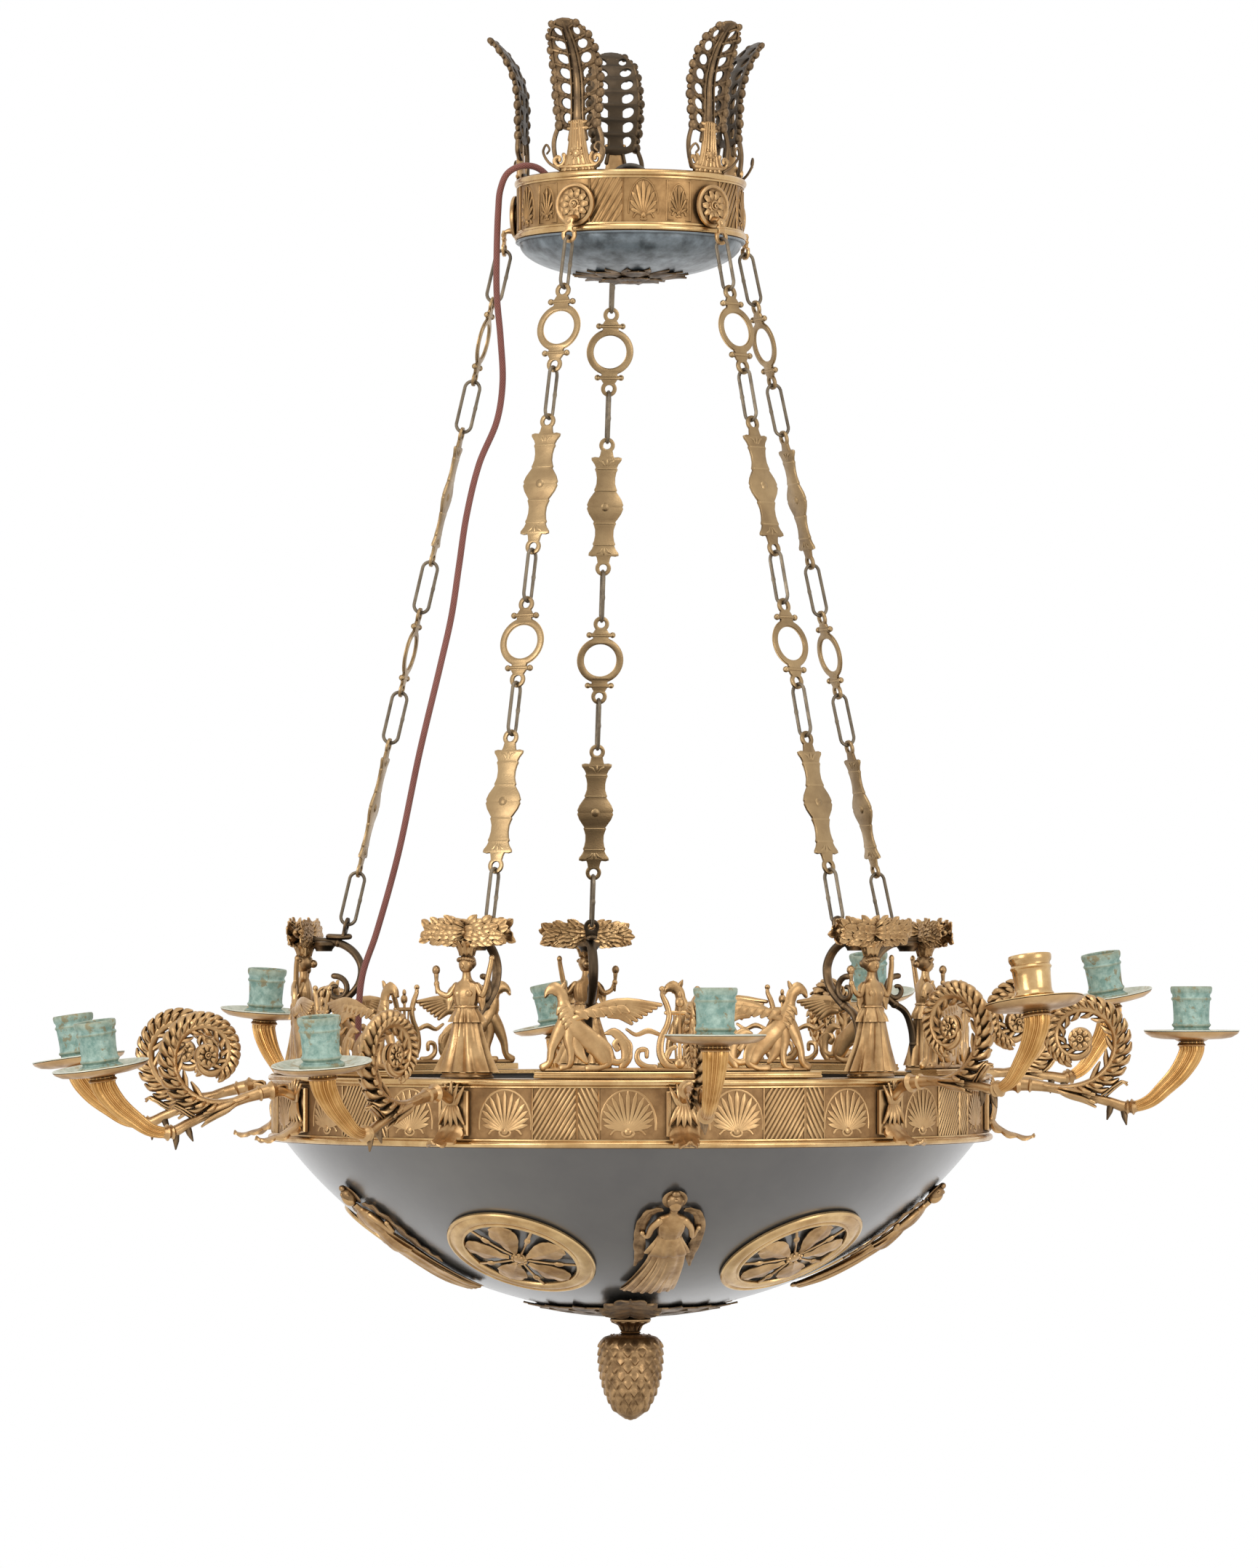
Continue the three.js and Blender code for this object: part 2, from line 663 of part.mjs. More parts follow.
const bowlBore = tieRodRadius + seatGap;
const bowlOuter = meridian(sphereRadius, bowlRimRadius, bowlBore, 8);
const bowlInner = meridian(sphereRadius - bowlWall, bowlRimRadius - bowlWall, bowlBore, 5);

// A flat design, [across, up], laid on the bowl. Its middle goes to an angle from the lowest point.
function onBowl(geometry, angle) {
  return reshaped(geometry, (x, y, w) => {
    const reach = Math.hypot(x, y) || 1;
    const radius = sphereRadius + w;
    const side = radius * Math.sin(reach / sphereRadius);
    return [(x / reach) * side, (-y / reach) * side, -radius * Math.cos(reach / sphereRadius)];
  }).rotateX(-angle).translate(0, 0, sphereCentre);
}

function bowl() {
  const wallTop = rimTop - bandWall - seatGap;
  const wallOuter = bandField - bandWall - seatGap;
  const shell = [[wallOuter, wallTop], [wallOuter, bandBottom + 7], ...bowlOuter, ...[...bowlInner].reverse(),
    [wallOuter - bowlWall, bandBottom + 6], [wallOuter - bowlWall, wallTop]];
  return solid(turned(shell, hoopFacets));
}
addPiece(chandelier, "bowl", bowl(), "bowlGrey");

const bandProfile = hoopProfile({
  radius: bandRadius,
  bead: bandBead,
  wall: bandWall,
  top: rimTop,
  height: bandHeight,
  flange: bandFlange,
});
addPiece(chandelier, "bowl_band", solid(turned(bandProfile, hoopFacets)), "gilt");

// A medallion: a round frame with the windows of a star cut through it.
function medallion() {
  const petals = 5;
  const windows = Array.from({ length: petals }, (_, i) => {
    const middle = degrees((i * 360) / petals);
    const at = (radius, offset) => [radius * Math.cos(middle + offset), radius * Math.sin(middle + offset)];
    return [at(17, 0), at(47, -0.36), at(47, 0.36)];
  });
  const centreHole = ringOfPoints(7, petals);
  const design = plate(ringOfPoints(medallionRadius, 14), [centreHole, ...windows], medallionThickness);
  return solid(onBowl(design.translate(0, 0, medallionGap), Math.asin(medallionCentre / sphereRadius)));
}

// Leaf plate under the bowl, its upper side clear of the bowl's round bottom. Flat facets on both stand off
// the sphere by a share of the plate's radius squared over the sphere's.
const facetShare = 0.06627;
const plateLift = seatGap + (facetShare * leafPlateRadius ** 2) / sphereRadius;
const under = (radius) => sphereCentre - Math.sqrt((sphereRadius + plateLift) ** 2 - radius ** 2);
const plateBottom = under(0) - leafPlateThickness;

function leafPlate() {
  const middle = leafPlateRadius / 2;
  const rim = under(leafPlateRadius);
  const rimThickness = 1;
  const profile = [[bowlBore, under(bowlBore)], [middle, under(middle)], [leafPlateRadius, rim],
    [leafPlateRadius, rim - rimThickness], [middle, under(middle) - leafPlateThickness],
    [bowlBore, plateBottom]];
  const tips = 12;
  return solid(leafEdged(turned(profile, tips * 2), tips, leafPlateRadius, leafPlateRadius * 0.92));
}
addPiece(chandelier, "bowl_leaf_plate", leafPlate(), "darkBronze");

// Finial: neck, leaf cup and pine cone, bored for the tie rod
const finialTop = plateBottom - seatGap;
const coneTop = finialTop - finialNeck;

function finial() {
  const swell = (share) => finialRadius * Math.sin(Math.PI * (0.3 + 0.7 * share)) ** 0.8;
  const rows = 6;
  const cone = Array.from({ length: rows }, (_, i) => {
    const share = (i + 0.3) / rows;
    return [swell(share), coneTop - finialHeight * share];
  });
  const boreEnd = finialTop - finialBore;
  const profile = [[0, boreEnd], [bowlBore, boreEnd], [bowlBore, finialTop], [15, finialTop],
    [9, finialTop - 5], [finialCupRadius, coneTop + 2], ...cone, [0, coneTop - finialHeight]];
  return solid(turned(profile, 10));
}
addPiece(chandelier, "finial", finial(), "darkBronze");

// The tie rod's washer and nut bear on the bowl's floor, and its top is the flex cord's gland.
const washerSeat = heightAt(bowlInner, washerRadius) + seatGap;

function tieRod() {
  const bottom = finialTop - finialBore + seatGap;
  const top = cordRoute.at(-1)[2] - seatGap;
  const nut = washerSeat + 3;
  return solid(turned([[0, bottom], [tieRodRadius, bottom], [tieRodRadius, washerSeat],
    [washerRadius, washerSeat], [washerRadius, nut], [10, nut], [10, nut + 9], [5, nut + 9],
    [5, top - 10], [7, top - 10], [7, top], [0, top]], 8));
}
addPiece(chandelier, "tie_rod", tieRod(), "iron");

// An arm's own [out, up] is counted from the band's outside and the rim's top. Its root plate and root
// leaf lie flush on the band, and the rest is bent round the root by the arm's sag and turn.
const armPath = [[-2, -14], [4, -14], [16, -8], [42, -9], [70, -15], [94, -21], [108, -25], [124, -21],
  [138, -9], [150, 4], [158, 19], [158, 26]];
const armHalves = [[0, 5.5], [0.1, 4], [0.2, 6.5], [0.26, 3.6], [0.55, 4.2], [0.68, 6.5], [1, 11]];
const armRootPoint = armPath[0];
const scrollCentre = [71, 28];
const hornTop = armPath.at(-1);

const fromBand = ([out, up]) => [bandRadius + out, rimTop + up];

function armOuter() {
  const horn = bar(curveOut(armPath.map(fromBand)), 8, 4, (t) => [along(armHalves, t), along(armHalves, t)]);
  const spiral = [];
  const steps = 8;
  for (let i = 0; i <= steps; i++) {
    const share = i / steps;
    const angle = degrees(232 + 458 * share);
    const reach = 7 + 27 * (1 - share) ** 0.7 + 12 * Math.exp(-share / 0.08);
    const out = scrollCentre[0] + reach * Math.cos(angle);
    spiral.push(fromBand([out, scrollCentre[1] + reach * Math.sin(angle)]));
  }
  const scroll = bar(curveOut(spiral), steps, 4, (t) => [7 - 3 * t, 3.2 - 0.8 * t]);
  const [rosetteOut, rosetteUp] = fromBand(scrollCentre);
  const rosette = new THREE.CylinderGeometry(scrollRosette, scrollRosette, 8, 6)
    .rotateZ(Math.PI / 2)
    .translate(0, -rosetteOut, rosetteUp);
  return [horn, scroll, rosette];
}

function armRoot() {
  const middleOut = facetRadius(bandField, hoopFacets) + seatGap + armRootThickness / 2;
  const rootPlate = block(armRootWidth, armRootThickness, armRootHeight,
    [0, -middleOut, rimTop - bandHeight / 2]);
  const leafCurve = curveOut([[-2, -28], [6, -39], [16, -45], [32, -49]].map(fromBand));
  return [rootPlate, bar(leafCurve, 3, 4, (t) => [13 - 11 * t * t, 2.6 - 1.4 * t])];
}

// The bend of one arm, as a group's place and turn round its root.
function bendOf(index) {
  const bend = new THREE.Group();
  bend.position.set(0, -(bandRadius + armRootPoint[0]), rimTop + armRootPoint[1]);
  bend.rotation.set(degrees(armSag[index]), 0, degrees(armTurn[index]));
  bend.updateMatrix();
  return bend;
}

function arm(index) {
  const bend = bendOf(index);
  const [x, y, z] = bend.position;
  const outer = armOuter().map((piece) => piece.translate(-x, -y, -z).applyMatrix4(bend.matrix));
  return joined([...armRoot(), ...outer]);
}

// A pan with a turned-up edge and a nozzle with a rim and a middle moulding, from the pan's underside.
const socketSeat = 10;

function candleSocket() {
  const nozzleTop = 6 + nozzleHeight;
  const waist = nozzleRadius - 1.6;
  return solid(turned([[0, 0], [socketSeat, 0], [panRadius, panHeight], [panRadius - 6, 5.5], [waist, 6],
    [nozzleRadius + 0.6, 25], [nozzleRadius + 0.8, nozzleTop], [nozzleBore, nozzleTop],
    [nozzleBore, nozzleTop - nozzleDepth], [0, nozzleTop - nozzleDepth]], 8));
}

// Sector by sector: what stands over and hangs under the coronet's roundels, then what lies between.
const frondSolid = frond();
const hookSolid = roundelHook();
const chainSolid = chain();
const figureSolid = figure();
const medallionSolid = medallion();
const gallerySolid = gallery();
const socketSolid = candleSocket();
for (let i = 0; i < sectors; i++) {
  const number = i + 1;
  const onRoundel = atAzimuth(36 + (i * 360) / sectors);
  addPiece(onRoundel, `frond_${number}`, frondSolid, "darkBronze");
  addPiece(onRoundel, `roundel_hook_${number}`, hookSolid, "gilt");
  addPiece(onRoundel, `figure_${number}`, figureSolid, "gilt");
  addPiece(onRoundel, `medallion_${number}`, medallionSolid, "gilt");
  const hanging = addPiece(onRoundel, `chain_${number}`, chainSolid, "gilt");
  hanging.position.set(0, -hookRadius, hookHeight);
  hanging.rotation.x = -chainSlope;
  addPiece(atAzimuth((i * 360) / sectors), `gallery_${number}`, gallerySolid, "gilt");
}
for (let i = 0; i < armCount; i++) {
  const outward = atAzimuth((i * 360) / armCount);
  addPiece(outward, `arm_${i + 1}`, arm(i), "gilt");
  const bend = bendOf(i);
  outward.add(bend);
  const socket = addPiece(bend, `candle_socket_${i + 1}`, socketSolid, "verdigris");
  const [hornOut, hornUp] = [hornTop[0] - armRootPoint[0], hornTop[1] - armRootPoint[1]];
  const lean = degrees(socketLean[i]);
  socket.position.set(0, -hornOut, hornUp + seatGap + socketSeat * Math.sin(Math.abs(lean)));
  socket.rotation.y = lean;
}

function flexCord() {
  const points = cordRoute.map(([azimuth, radius, height]) => {
    const angle = degrees(azimuth);
    return new THREE.Vector3(radius * Math.sin(angle), -radius * Math.cos(angle), height);
  });
  const route = new THREE.CatmullRomCurve3(points);
  const section = new THREE.Shape(ringOfPoints(cordRadius, 8).map(([x, y]) => new THREE.Vector2(x, y)));
  const along = { steps: cordSteps, bevelEnabled: false, extrudePath: route };
  return solid(new THREE.ExtrudeGeometry(section, along));
}
addPiece(chandelier, "flex_cord", flexCord(), "flex");

export default chandelier;
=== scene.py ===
# %% [markdown]
# # A chandelier of gilt and patinated bronze
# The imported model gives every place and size, in metres. Each cell after this one makes one finish or one
# kind of piece over it. The pieces are drawn in millimetres, as a founder would draw them, and turned to
# metres when they become meshes.

# %% Load the frame
import math
import bmesh
import bpy
import numpy as np
from mathutils import Matrix, Vector


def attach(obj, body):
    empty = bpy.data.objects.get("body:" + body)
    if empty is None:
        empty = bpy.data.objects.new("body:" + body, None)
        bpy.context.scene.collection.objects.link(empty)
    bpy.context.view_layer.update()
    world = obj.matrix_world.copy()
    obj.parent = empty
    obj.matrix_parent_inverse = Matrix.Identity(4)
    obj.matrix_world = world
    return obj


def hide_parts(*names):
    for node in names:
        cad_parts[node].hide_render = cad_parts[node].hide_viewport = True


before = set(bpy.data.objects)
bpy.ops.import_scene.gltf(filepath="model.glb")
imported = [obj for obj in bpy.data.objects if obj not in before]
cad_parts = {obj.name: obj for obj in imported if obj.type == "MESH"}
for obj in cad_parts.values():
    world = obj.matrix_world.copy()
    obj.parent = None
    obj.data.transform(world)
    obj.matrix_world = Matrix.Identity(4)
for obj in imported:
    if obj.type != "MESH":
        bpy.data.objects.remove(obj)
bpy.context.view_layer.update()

MM = 0.001

# %% [markdown]
# ## The camera
# The horizon of the picture is where the bowl's rim shows as a line, so the camera stood level with a point
# a little above the rim, far back with a long lens, and 8 degrees to the left of the front arm. It looks up
# by a degree and a half, which lifts the frame's middle to the chains.

# %% Set up the camera
camera_distance = 5.64
camera_height = -0.633
aim_height = -0.488
aim_side = -0.0012
picture_height = 1.24
camera_azimuth = math.radians(-8)
sight = Vector((-math.sin(camera_azimuth), math.cos(camera_azimuth), 0))
right = Vector((math.cos(camera_azimuth), math.sin(camera_azimuth), 0))

camera_data = bpy.data.cameras.new("picture_camera")
camera = bpy.data.objects.new("picture_camera", camera_data)
bpy.context.scene.collection.objects.link(camera)
camera.location = -sight * camera_distance + Vector((0, 0, camera_height)) + right * aim_side
aim = Vector((0, 0, aim_height)) + right * aim_side
camera.rotation_euler = (aim - camera.location).to_track_quat("-Z", "Y").to_euler()
camera_data.lens = camera_data.sensor_width / (picture_height / camera_distance)
bpy.context.scene.camera = camera
print("lens, mm:", round(camera_data.lens, 1))

# %% [markdown]
# ## Nodes
# The colours are written as sRGB hex and turned to linear once. One small function adds a node, with its
# settings and links, and four others name the kinds that the floor and the finishes use most.

# %% Add nodes
def linear(code):
    """An sRGB hex colour as the linear colour that a shader takes."""
    values = [int(code[i:i + 2], 16) / 255 for i in (1, 3, 5)]
    return [v / 12.92 if v <= 0.04045 else ((v + 0.055) / 1.055) ** 2.4 for v in values] + [1.0]


def add(tree, kind, sockets=(), **settings):
    """Adds a node. sockets gives each input a value, a hex colour or another node's output."""
    node = tree.nodes.new("ShaderNode" + kind)
    for name, value in settings.items():
        setattr(node, name, value)
    for key, value in dict(sockets).items():
        if isinstance(value, bpy.types.NodeSocket):
            tree.links.new(value, node.inputs[key])
        else:
            node.inputs[key].default_value = linear(value) if isinstance(value, str) else value
    return node


def worked_out(tree, operation, *values, **settings):
    """A sum on values and outputs."""
    return add(tree, "Math", dict(enumerate(values)), operation=operation, **settings).outputs[0]


def remapped(tree, value, low, high, to_low=0.0, to_high=1.0):
    """A value stretched from low and high to to_low and to_high, and held between them."""
    return add(tree, "MapRange", {"Value": value, "From Min": low, "From Max": high, "To Min": to_low,
                                  "To Max": to_high}).outputs[0]


def mixed(tree, share, first, second, **settings):
    return add(tree, "Mix", {0: share, 6: first, 7: second}, data_type="RGBA", **settings).outputs[2]


def noise(tree, place, millimetres, detail, roughness=0.5):
    """Noise with marks of this size, on an object drawn in metres."""
    return add(tree, "TexNoise", {"Vector": place, "Scale": 1 / (millimetres * MM), "Detail": detail,
                                  "Roughness": roughness}).outputs["Fac"]


def new_material(name):
    """A material with an empty node tree, and the tree."""
    material = bpy.data.materials.new(name)
    material.use_nodes = True
    material.node_tree.nodes.clear()
    return material, material.node_tree


# %% [markdown]
# ## Floor, backdrop and light
# The picture has a white ground. The floor is pale and plain, and it keeps the shadow under the piece. Away
# from the piece it fades into the white of the world, which camera, glossy and transmission rays see at full
# strength, so that the metal mirrors a white room. What the metal mirrors of the floor is white nearly up to
# the shadow. The lamps are three large soft boxes.

# %% Light the room
def seen_directly(tree):
    """1 for a ray from the camera, a mirror or clear glass, and 0 for the light that falls on things."""
    rays = add(tree, "LightPath").outputs
    seen = worked_out(tree, "MAXIMUM", rays["Is Camera Ray"], rays["Is Glossy Ray"])
    return worked_out(tree, "MAXIMUM", seen, rays["Is Transmission Ray"])


bpy.context.scene.view_settings.view_transform = "Standard"
world = bpy.data.worlds.new("white_room")
bpy.context.scene.world = world
world.use_nodes = True
world.node_tree.nodes.clear()
room_light = add(world.node_tree, "Background", {"Color": "#FFFFFF", "Strength": 0.55}).outputs[0]
room_white = add(world.node_tree, "Background", {"Color": "#FFFFFF", "Strength": 1.0}).outputs[0]
room = add(world.node_tree, "MixShader", {0: seen_directly(world.node_tree), 1: room_light, 2: room_white})
add(world.node_tree, "OutputWorld", {"Surface": room.outputs[0]})

# %% Lay the floor
floor_height = -1.25
floor_reach = 5.0
floor_material, floor_tree = new_material("white paper floor")
floor_place = add(floor_tree, "TexCoord").outputs["Object"]
floor_radius = add(floor_tree, "VectorMath", {0: floor_place}, operation="LENGTH").outputs["Value"]
outer_fade = worked_out(floor_tree, "MULTIPLY", remapped(floor_tree, floor_radius, 0.5, 1.5),
                        seen_directly(floor_tree))
mirrored_ray = add(floor_tree, "LightPath").outputs["Is Glossy Ray"]
mirror_fade = worked_out(floor_tree, "MULTIPLY", remapped(floor_tree, floor_radius, 0.0, 0.45), mirrored_ray)
fade = worked_out(floor_tree, "MAXIMUM", outer_fade, mirror_fade)
paper_tone = mixed(floor_tree, noise(floor_tree, floor_place, 25, 2.0), "#F0F0EE", "#F6F6F4")
paper = add(floor_tree, "BsdfDiffuse", {"Color": paper_tone})
white = add(floor_tree, "Emission", {"Color": "#FFFFFF", "Strength": 1.0})
floor_mix = add(floor_tree, "MixShader", {0: fade, 1: paper.outputs[0], 2: white.outputs[0]})
add(floor_tree, "OutputMaterial", {"Surface": floor_mix.outputs[0]})
floor_mesh = bpy.data.meshes.new("floor")
floor_sides = 64
floor_angles = [2 * math.pi * i / floor_sides for i in range(floor_sides)]
floor_corners = [(floor_reach * math.cos(a), floor_reach * math.sin(a), 0) for a in floor_angles]
floor_mesh.from_pydata(floor_corners, [], [list(range(floor_sides))])
floor_mesh.materials.append(floor_material)
floor = bpy.data.objects.new("floor", floor_mesh)
floor.location.z = floor_height
bpy.context.scene.collection.objects.link(floor)

# %% Place the soft boxes
# Name, degrees from the camera, metres above the aim, distance, width and power.
soft_boxes = [
    ("key_box", -42, 0.55, 3.0, 1.3, 26),
    ("fill_box", 44, 0.15, 3.0, 1.3, 17),
    ("top_box", 10, 2.3, 1.2, 1.6, 18),
]
box_height = 1.3
for box_name, azimuth, height, distance, size, power in soft_boxes:
    lamp_data = bpy.data.lights.new(box_name, "AREA")
    lamp_data.shape = "RECTANGLE"
    lamp_data.size = size
    lamp_data.size_y = size * box_height
    lamp_data.energy = power
    lamp = bpy.data.objects.new(box_name, lamp_data)
    bpy.context.scene.collection.objects.link(lamp)
    turn = camera_azimuth + math.radians(azimuth)
    lamp.location = (distance * math.sin(turn), -distance * math.cos(turn), aim_height + height)
    lamp.rotation_euler = (aim - lamp.location).to_track_quat("-Z", "Y").to_euler()
print("soft boxes:", [name for name, *_ in soft_boxes])

# %% [markdown]
# ## Lines, bars and turned shapes
# Cast ornament is mostly bars that swell and taper, leaves, and turned mouldings. A shape here is a pair:
# its points in millimetres and its faces. Points are arrays, so that a whole ornament can be bent round a
# hoop or laid on the bowl in one step.

# %% A smooth line through points
X, Y, Z = (1, 0, 0), (0, 1, 0), (0, 0, 1)
# A direction that no line of the drawings takes.
LEANING = (0.31, 0.52, 0.79)


def smooth_line(points, steps=6, closed=False):
    """A line through points, with no overshoot where they stand close together."""
    p = np.array(points, float)
    p = np.vstack([p[-1:], p, p[:2]]) if closed else np.vstack([2 * p[:1] - p[1:2], p, 2 * p[-1:] - p[-2:-1]])
    line = []
    for a, b, c, d in zip(p, p[1:], p[2:], p[3:]):
        thread_gap_shade = [max(np.linalg.norm(y - x), 1e-6) ** 0.5 for x, y in ((a, b), (b, c), (c, d))]
        t = np.cumsum([0, *thread_gap_shade])
        for s in np.linspace(t[1], t[2], steps, endpoint=False):
            ab = (a * (t[1] - s) + b * s) / t[1]
            bc = (b * (t[2] - s) + c * (s - t[1])) / (t[2] - t[1])
            cd = (c * (t[3] - s) + d * (s - t[2])) / (t[3] - t[2])
            abc = (ab * (t[2] - s) + bc * s) / t[2]
            bcd = (bc * (t[3] - s) + cd * (s - t[1])) / (t[3] - t[1])
            line.append((abc * (t[2] - s) + bcd * (s - t[1])) / (t[2] - t[1]))
    if not closed:
        line.append(p[-2])
    return np.array(line)


# %% Faces over a grid of points, and joining shapes
def skin(points, round_rows=False, round_columns=False, caps=False):
    """A shape over a grid of points: rows by columns by three."""
    rows, columns = points.shape[:2]
    i, j = np.meshgrid(np.arange(rows - (not round_rows)), np.arange(columns - (not round_columns)),
                       indexing="ij")
    i, j = i.ravel(), j.ravel()
    down, across = (i + 1) % rows, (j + 1) % columns
    corners = [i * columns + j, i * columns + across, down * columns + across, down * columns + j]
    faces = np.stack(corners, 1).tolist()
    if caps:
        faces.append(list(range(columns))[::-1])
        faces.append(list(range((rows - 1) * columns, rows * columns)))
    return points.reshape(-1, 3), faces


def joined(shapes):
    points, faces, start = [], [], 0
    for shape_points, shape_faces in shapes:
        points.append(shape_points)
        faces += [[corner + start for corner in face] for face in shape_faces]
        start += len(shape_points)
    return np.vstack(points), faces


def bent(shapes, place):
    """The shapes with their points sent through a function of an array of points."""
    return [(place(points), faces) for points, faces in shapes]


def face_count(shapes):
    return sum(len(faces) for _, faces in shapes)


# %% Bars that swell and taper
def spread_over(values, count):
    """A number, or stops at even shares of a length, as one value for each of count points."""
    stops = np.atleast_1d(np.array(values, float))
    return np.interp(np.linspace(0, 1, count), np.linspace(0, 1, len(stops)), stops)


def bar(line, width, depth=None, sides=10, side=None, closed=False, rounding=1.0, flutes=0, flute_depth=0.12):
    """A bar along a line, rounded off at its ends. Width and depth are half sizes, and the width lies along
    the direction side. Without one, the bar's own cross section is carried along without a twist."""
    line = np.array(line, float)
    count = len(line)
    width = spread_over(width, count)
    depth = width if depth is None else spread_over(depth, count)
    if closed:
        along = np.roll(line, -1, 0) - np.roll(line, 1, 0)
    else:
        along = np.gradient(line, axis=0)
    along /= np.maximum(np.linalg.norm(along, axis=1), 1e-9)[:, None]
    if side is None:
        first = np.cross(along[0], LEANING)
        sideways = [first / np.linalg.norm(first)]
        for direction in along[1:]:
            carried = sideways[-1] - direction * np.dot(sideways[-1], direction)
            sideways.append(carried / np.linalg.norm(carried))
        sideways = np.array(sideways)
    else:
        sideways = np.broadcast_to(np.array(side, float), line.shape)
        sideways = sideways - along * np.sum(sideways * along, axis=1)[:, None]
        sideways /= np.maximum(np.linalg.norm(sideways, axis=1), 1e-9)[:, None]
    outward = np.cross(along, sideways)
    rings = [(line[i], width[i], depth[i], sideways[i], outward[i]) for i in range(count)]
    if not closed:
        for end, sign in ((0, -1), (count - 1, 1)):
            centre, w, d, s, o = rings[end if sign < 0 else -1]
            reach = min(w, d) * rounding
            for angle in (40, 75):
                turn = math.radians(angle)
                shrink = math.cos(turn)
                ring = (centre + along[end] * sign * reach * math.sin(turn), w * shrink, d * shrink, s, o)
                rings = [ring, *rings] if sign < 0 else [*rings, ring]
    around = (np.arange(sides) + 0.5) * 2 * math.pi / sides
    reach = 1 - flute_depth * np.abs(np.cos(around * flutes / 2)) if flutes else np.ones(sides)
    cos, sin = (np.cos(around) * reach)[:, None], (np.sin(around) * reach)[:, None]
    grid = np.array([c + s * cos * w + o * sin * d for c, w, d, s, o in rings])
    return skin(grid, round_rows=closed, round_columns=True, caps=not closed)


def rod(points, steps, width, depth=None, **shape):
    """A bar along a smooth line through points."""
    return bar(smooth_line(points, steps), width, depth, **shape)


# %% Turned shapes, and where things stand
def turned(profile, sides=96, wave=None):
    """A profile of [radius, height] pairs turned round the axis. wave(angles, row) scales a row's radius."""
    profile = np.array(profile, float)
    angles = np.arange(sides) * 2 * math.pi / sides
    rows = []
    for row, (radius, height) in enumerate(profile):
        radii = radius * (np.ones(sides) if wave is None else wave(angles, row))
        rows.append(np.stack([radii * np.sin(angles), -radii * np.cos(angles), np.full(sides, height)], 1))
    on_axis = profile[0][0] < 0.05 and profile[-1][0] < 0.05
    return skin(np.array(rows), round_rows=not on_axis, round_columns=True, caps=on_axis)


def around_axis(azimuth):
    """A turn about the axis. Azimuth 0 looks out along -Y, and azimuths grow towards +X."""
    angle = math.radians(azimuth)
    cos, sin = math.cos(angle), math.sin(angle)
    matrix = np.array([[cos, -sin, 0], [sin, cos, 0], [0, 0, 1]])
    return lambda points: points @ matrix.T


def moved(x=0, y=0, z=0):
    return lambda points: points + np.array([x, y, z], float)


def stretched(x=1, y=1, z=1):
    return lambda points: points * np.array([x, y, z], float)


def mirrored(shapes):
    return bent(shapes, stretched(x=-1))


def tilted(axis, degrees):
    matrix = np.array(Matrix.Rotation(math.radians(degrees), 3, axis))
    return lambda points: points @ matrix.T


def on_end(flatten=1.0, out=0.0):
    """Stands a turned shape up in a drawing in (across, up, out)."""
    return lambda points: np.stack([points[:, 0], points[:, 2], points[:, 1] * flatten + out], 1)


def facing_out(radius, height):
    """A design in (across, up, out) stood up over azimuth 0 at a radius."""
    return lambda points: np.stack([points[:, 0], -radius - points[:, 2], height + points[:, 1]], 1)


def on_hoop(radius, azimuth, height):
    """Lays a flat design, (across, up, out), round a hoop."""
    def place(points):
        angle = math.radians(azimuth) + points[:, 0] / radius
        reach = radius + points[:, 2]
        return np.stack([reach * np.sin(angle), -reach * np.cos(angle), height + points[:, 1]], 1)
    return place


# %% [markdown]
# ## Leaves
# Every leaf on the piece is a thin casting with a raised midrib, veins and a lobed edge. One function makes
# them all: a midrib line, a half width at each share of its length, and the number and depth of its lobes.

# %% Make a leaf
def leaf(line, half_width, across=X, lobes=4, notch=0.3, cup=0.15, rib=0.6, vein=0.25, thick=1.2,
         columns=13, sweep=0.35):
    """A lobed leaf along its midrib line. cup lifts the edges by a share of the half width."""
    line = np.array(line, float)
    rows = len(line)
    share = np.linspace(0, 1, rows)
    width = spread_over(half_width, rows)
    along = np.gradient(line, axis=0)
    along /= np.linalg.norm(along, axis=1)[:, None]
    across = np.array(across, float)
    sideways = across - along * (along @ across)[:, None]
    sideways /= np.linalg.norm(sideways, axis=1)[:, None]
    face = np.cross(sideways, along)
    u = np.linspace(-1, 1, columns)
    swing = (share * lobes) % 1
    edge = width * (1 - notch * (1 - np.abs(np.sin(math.pi * swing)) ** 0.6)) if lobes else width
    flat = u[None, :] * edge[:, None]
    lift = cup * np.abs(flat) * np.abs(u)[None, :]
    lift = lift + rib * np.exp(-((u / 0.16) ** 2))[None, :] * (1 - share[:, None] * 0.6)
    if lobes:
        lift = lift + vein * np.cos(2 * math.pi * (share[:, None] * lobes - 0.5)) * np.abs(u)[None, :]
    forward = sweep * np.abs(flat) * np.abs(u)[None, :]
    middle = line[:, None] + sideways[:, None] * flat[..., None] + along[:, None] * forward[..., None]
    half = thick / 2 * (1 - 0.45 * np.abs(u) ** 3)[None, :, None]
    front = middle + face[:, None] * (lift[..., None] + half)
    back = middle + face[:, None] * (lift[..., None] * 0.7 - half)
    ring = np.concatenate([front, back[:, ::-1]], axis=1)
    return skin(ring, round_columns=True, caps=True)


# %% [markdown]
# ## Flat pierced pieces
# Chain links and openwork were cast in flat moulds and filed, which leaves softly rounded edges. A filled
# 2-D curve with a bevel gives that, holes included.

